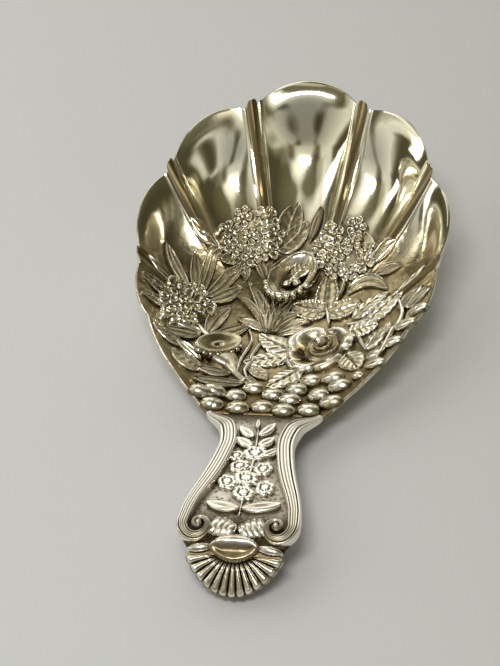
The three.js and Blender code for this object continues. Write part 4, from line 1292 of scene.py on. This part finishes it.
def silver(name, ground, patina, chasing=CHASING, polish=None, spread=None):
    """Worn silver: a mottled dull ground, stains and painted shade, dark patina in the recesses, and rubbed
    edges and painted highlights.

    Where a polish is given, the ground only spreads round a middle, and the rest is polished.
    """
    material = bpy.data.materials.new(name)
    graph = Graph(material)
    place = graph.coordinates()
    wear = graph.noise(place, *WEAR)
    touched = graph.noise(place, *TOUCHED)
    plain, rough = ground
    colour = graph.mix(graph.scaled(touched, *TOUCHED_GROUND), plain, tuple(GROUND_SHADE * c for c in plain))
    polish_clean, clean_from = RECESS_CLEAN
    if polish:
        bright, tarnished, smooth = polish
        middle, fade, end = spread
        near = graph.scaled(graph.distance(place, middle), fade, end, 1, 0)
        dull = graph.times(near, graph.upward())
        clouds = graph.scaled(graph.noise(place, *CLOUDS), *CLOUD_RANGE)
        colour = graph.mix(dull, graph.mix(clouds, bright, tarnished), colour)
        worn = graph.scaled(wear, 0, 1, *(smooth * share for share in WEAR_ROUGHNESS))
        rough = graph.blend(dull, worn, rough)
        clean_from = graph.blend(dull, polish_clean, clean_from)
        chasing = graph.blend(graph.times(dull, dull), 0, chasing)
    tone = graph.tone()
    # Tones below 0 give real stains and painted shade.
    stained_and_shaded = graph.scaled(tone, 0, -1)
    colour = graph.mix(stained_and_shaded, colour, STAIN_AND_SHADE_COLOUR)
    rough = graph.blend(stained_and_shaded, rough, STAIN_AND_SHADE_ROUGHNESS)
    clean = graph.scaled(graph.openness(RECESS_REACH), RECESS_FULL, clean_from)
    colour = graph.mix(clean, patina, colour)
    # Tones above 0 give rubbed wear and painted highlights.
    rub_and_highlight = graph.times(graph.scaled(tone, RUB_AND_HIGHLIGHT_START, 1), graph.scaled(touched, *TOUCHED_RUB))
    colour = graph.mix(rub_and_highlight, colour, RUBBED_AND_HIGHLIGHT_COLOUR)
    rough = graph.blend(rub_and_highlight, rough, RUBBED_AND_HIGHLIGHT_ROUGHNESS)
    fine = graph.bump(wear, *WEAR_BUMP)
    normal = graph.bump(graph.noise(place, *STRUCK), chasing, STRUCK_DEPTH, Normal=fine)
    graph.surface(Metallic=1, Base_Color=colour, Roughness=rough, Normal=normal)
    return material


def matted_silver():
    """The punched ground of the handle's panel: close dark dots between bright walls."""
    material = bpy.data.materials.new("matted_silver")
    graph = Graph(material)
    place = graph.coordinates()
    dots = graph.node("TexVoronoi", Vector=place, Scale=DOT_SCALE).outputs["Distance"]
    clouds = graph.noise(place, *MATTED_CLOUDS)
    face = graph.upward()
    walls = graph.mix(graph.scaled(clouds, *MATTED_CLOUD_RANGE), *MATTED)
    ground = graph.mix(graph.scaled(dots, *DOT_RANGE), PUNCHED, walls)
    back = HANDLE_POLISH[0]
    colour = graph.mix(face, back, ground)
    clean = graph.scaled(graph.openness(MATTED_RECESS_REACH), *MATTED_RECESS_RANGE)
    colour = graph.mix(clean, HANDLE_PATINA, colour)
    # Painted shade at both ends of the plate, where the tone is below 0.
    colour = graph.mix(graph.scaled(graph.tone(), 0, -1), colour, PLATE_SHADE_COLOUR)
    strength, depth = DOT_BUMP
    normal = graph.bump(dots, graph.blend(face, 0, strength), depth)
    rough = graph.blend(face, PLATE_BACK_ROUGHNESS, graph.scaled(clouds, 0, 1, *MATTED_ROUGHNESS))
    graph.surface(Metallic=1, Base_Color=colour, Roughness=rough, Normal=normal)
    return material


MATERIALS = {
    "bowl_silver": silver("bowl_silver", CHASED_FLOOR, BOWL_PATINA, FLOOR_CHASING, BOWL_POLISH,
                          ORNAMENT_SPREAD),
    "chased_silver": silver("chased_silver", CHASED, BOWL_PATINA),
    "handle_silver": silver("handle_silver", TERMINAL_GROUND, HANDLE_PATINA, CHASING, HANDLE_POLISH,
                            TERMINAL_SPREAD),
    "matted_silver": matted_silver(),
}

# Angle beyond which an edge is drawn sharp, in degrees.
SHARP_ANGLE = 50


def in_scene(name, data):
    made = bpy.data.objects.new(name, data)
    bpy.context.scene.collection.objects.link(made)
    return made


def make_piece(node, casting, slot):
    mesh = bpy.data.meshes.new(node)
    mesh.from_pydata((np.vstack(casting.points) * MM).tolist(), [], casting.faces)
    work = bmesh.new()
    work.from_mesh(mesh)
    bmesh.ops.recalc_face_normals(work, faces=work.faces)
    work.to_mesh(mesh)
    work.free()
    tone = mesh.attributes.new("tone", "FLOAT", "POINT")
    tone.data.foreach_set("value", np.concatenate(casting.tones))
    mesh.shade_smooth()
    mesh.set_sharp_from_angle(angle=math.radians(SHARP_ANGLE))
    chased = slot == "bowl_silver" and node != "bowl"
    mesh.materials.append(MATERIALS["chased_silver" if chased else slot])
    piece = in_scene("silver_" + node, mesh)
    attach(piece, "root")
    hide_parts(node)


PIECES = {
    "bowl": bowl(),
    "bead_border": bead_border(),
    "rose": rose(),
    "bell_flower": bell_flower(),
    "trefoil_leaf": leafy(**TREFOIL),
    "rose_leaves_left": leafy(**ROSE_LEFT),
    "rose_leaves_right": leafy(**ROSE_RIGHT),
    "upper_right_posy": leafy(**RIGHT_POSY),
    "upper_left_posy": leafy(**LEFT_POSY),
    "centre_leaves": leafy(**CENTRE),
    "daisy_posy": leafy(**DAISY),
    "trumpet_flower": trumpet_flower(),
    "lower_left_leaves": leafy(**LOWER_LEFT),
    "right_leaf_spray": leafy(**RIGHT_SPRAY),
    "handle": handle(),
    "left_scroll_border": scroll_border(-1),
    "right_scroll_border": scroll_border(1),
    "left_acanthus_leaf": acanthus_leaf(-1),
    "right_acanthus_leaf": acanthus_leaf(1),
    "handle_spray": handle_spray(),
    "cartouche": cartouche(),
    "terminal_shell": terminal_shell(),
}
SLOTS = {part["node"]: part["material_slot"] for part in frame["record"]["subparts"]}
for name, body in PIECES.items():
    make_piece(name, body, SLOTS[name])

# Studio, in metres. The floor's colour runs from lighter on the left to darker on the right: a painted
# falloff of the light.
FLOOR_HALF = 4
FLOOR_LIT_AND_SHADED_COLOURS = ((0.66, 0.665, 0.68), (0.53, 0.53, 0.525))
FLOOR_FADE = 0.07
FLOOR_ROUGHNESS = 0.6
# Soft patches of the room, as stops of colour, and the brighter ones overhead.
ROOM_SEED = 6.2
ROOM_SCALE = 1.8
ROOM_DETAIL = 1
ROOM_STOPS = [(0.42, (0.07, 0.063, 0.035)), (0.5, (0.18, 0.168, 0.1)), (0.59, (0.74, 0.73, 0.66))]
GLOW_STOPS = [(0.42, (0.16, 0.145, 0.085)), (0.58, (1.2, 1.17, 1.04))]
GLOW_HEIGHT = (0.6, 0.95)
# Share of the room's light on the side of the camera, and where it starts and ends.
NEAR_SHARE = 0.35
NEAR_RANGE = (-0.9, -0.45)
# Name, place, width, depth, power and colour of each light panel. All face the spoon.
PANELS = [
    ("far_panel", (-0.2, 0.55, 0.42), 0.7, 0.4, 0.7, (1, 0.99, 0.96)),
    ("left_panel", (-0.6, 0.05, 0.35), 0.14, 0.4, 0.45, (1, 0.98, 0.94)),
    ("key_panel", (-0.02, -0.3, 0.56), 0.24, 0.09, 1.7, (1, 1, 1)),
]


def lay_floor():
    mesh = bpy.data.meshes.new("floor")
    corners = [(-1, -1), (1, -1), (1, 1), (-1, 1)]
    mesh.from_pydata([(FLOOR_HALF * a, FLOOR_HALF * b, 0) for a, b in corners], [], [(0, 1, 2, 3)])
    material = bpy.data.materials.new("floor")
    graph = Graph(material)
    eastward = graph.axes(graph.coordinates())["X"]
    # Painted falloff of the light across the floor, from lit left to shaded right.
    colour = graph.mix(graph.scaled(eastward, -FLOOR_FADE, FLOOR_FADE), *FLOOR_LIT_AND_SHADED_COLOURS)
    graph.surface(Base_Color=colour, Roughness=FLOOR_ROUGHNESS)
    mesh.materials.append(material)
    floor = in_scene("floor", mesh)


def light_room():
    world = bpy.data.worlds.new("studio")
    graph = Graph(world)
    toward = graph.coordinates("Generated")
    axes = graph.axes(toward)
    patches = graph.node("TexNoise", {"noise_dimensions": "4D"}, Vector=toward, W=ROOM_SEED,
                         Scale=ROOM_SCALE, Detail=ROOM_DETAIL).outputs["Fac"]
    overhead = graph.scaled(axes["Z"], *GLOW_HEIGHT)
    colour = graph.mix(overhead, graph.ramp(patches, ROOM_STOPS), graph.ramp(patches, GLOW_STOPS))
    light = graph.scaled(axes["Y"], *NEAR_RANGE, NEAR_SHARE, 1)
    shader = graph.node("Background", Color=colour, Strength=light)
    graph.node("OutputWorld", Surface=shader.outputs["Background"])
    bpy.context.scene.world = world


def hang_panels():
    for name, place, width, depth, power, colour in PANELS:
        lamp = bpy.data.lights.new(name, "AREA")
        lamp.shape = "RECTANGLE"
        lamp.size = width
        lamp.size_y = depth
        lamp.energy = power
        lamp.color = colour
        panel = in_scene(name, lamp)
        panel.location = place
        panel.rotation_euler = (-Vector(place)).to_track_quat("-Z", "Y").to_euler()


# Camera, at the angle of the photograph. The focal length and the height of the picture are in pixels.
IMAGE_HEIGHT = 666
FOCAL_PIXELS = 2150
SENSOR = 36
VIEW_AZIMUTH = 12.3
VIEW_ELEVATION = 40
VIEW_ROLL = -6
VIEW_DISTANCE = 320
VIEW_TARGET = (-4.6, 3.15, 5.15)


def place_camera():
    azimuth, elevation = math.radians(VIEW_AZIMUTH), math.radians(VIEW_ELEVATION)
    back = Vector((math.sin(azimuth) * math.cos(elevation), -math.cos(azimuth) * math.cos(elevation),
                   math.sin(elevation)))
    right = (-back).cross(Vector((0, 0, 1))).normalized()
    up = right.cross(-back)
    turn = Matrix.Rotation(math.radians(VIEW_ROLL), 3, back)
    axes = Matrix((turn @ right, turn @ up, back)).transposed()
    lens = bpy.data.cameras.new("camera")
    lens.sensor_width = SENSOR
    lens.lens = FOCAL_PIXELS * SENSOR / IMAGE_HEIGHT
    made = in_scene("camera", lens)
    made.matrix_world = Matrix.Translation((Vector(VIEW_TARGET) + back * VIEW_DISTANCE) * MM) @ axes.to_4x4()
    bpy.context.scene.camera = made


lay_floor()
light_room()
hang_panels()
place_camera()
bpy.context.scene.view_settings.view_transform = "Standard"
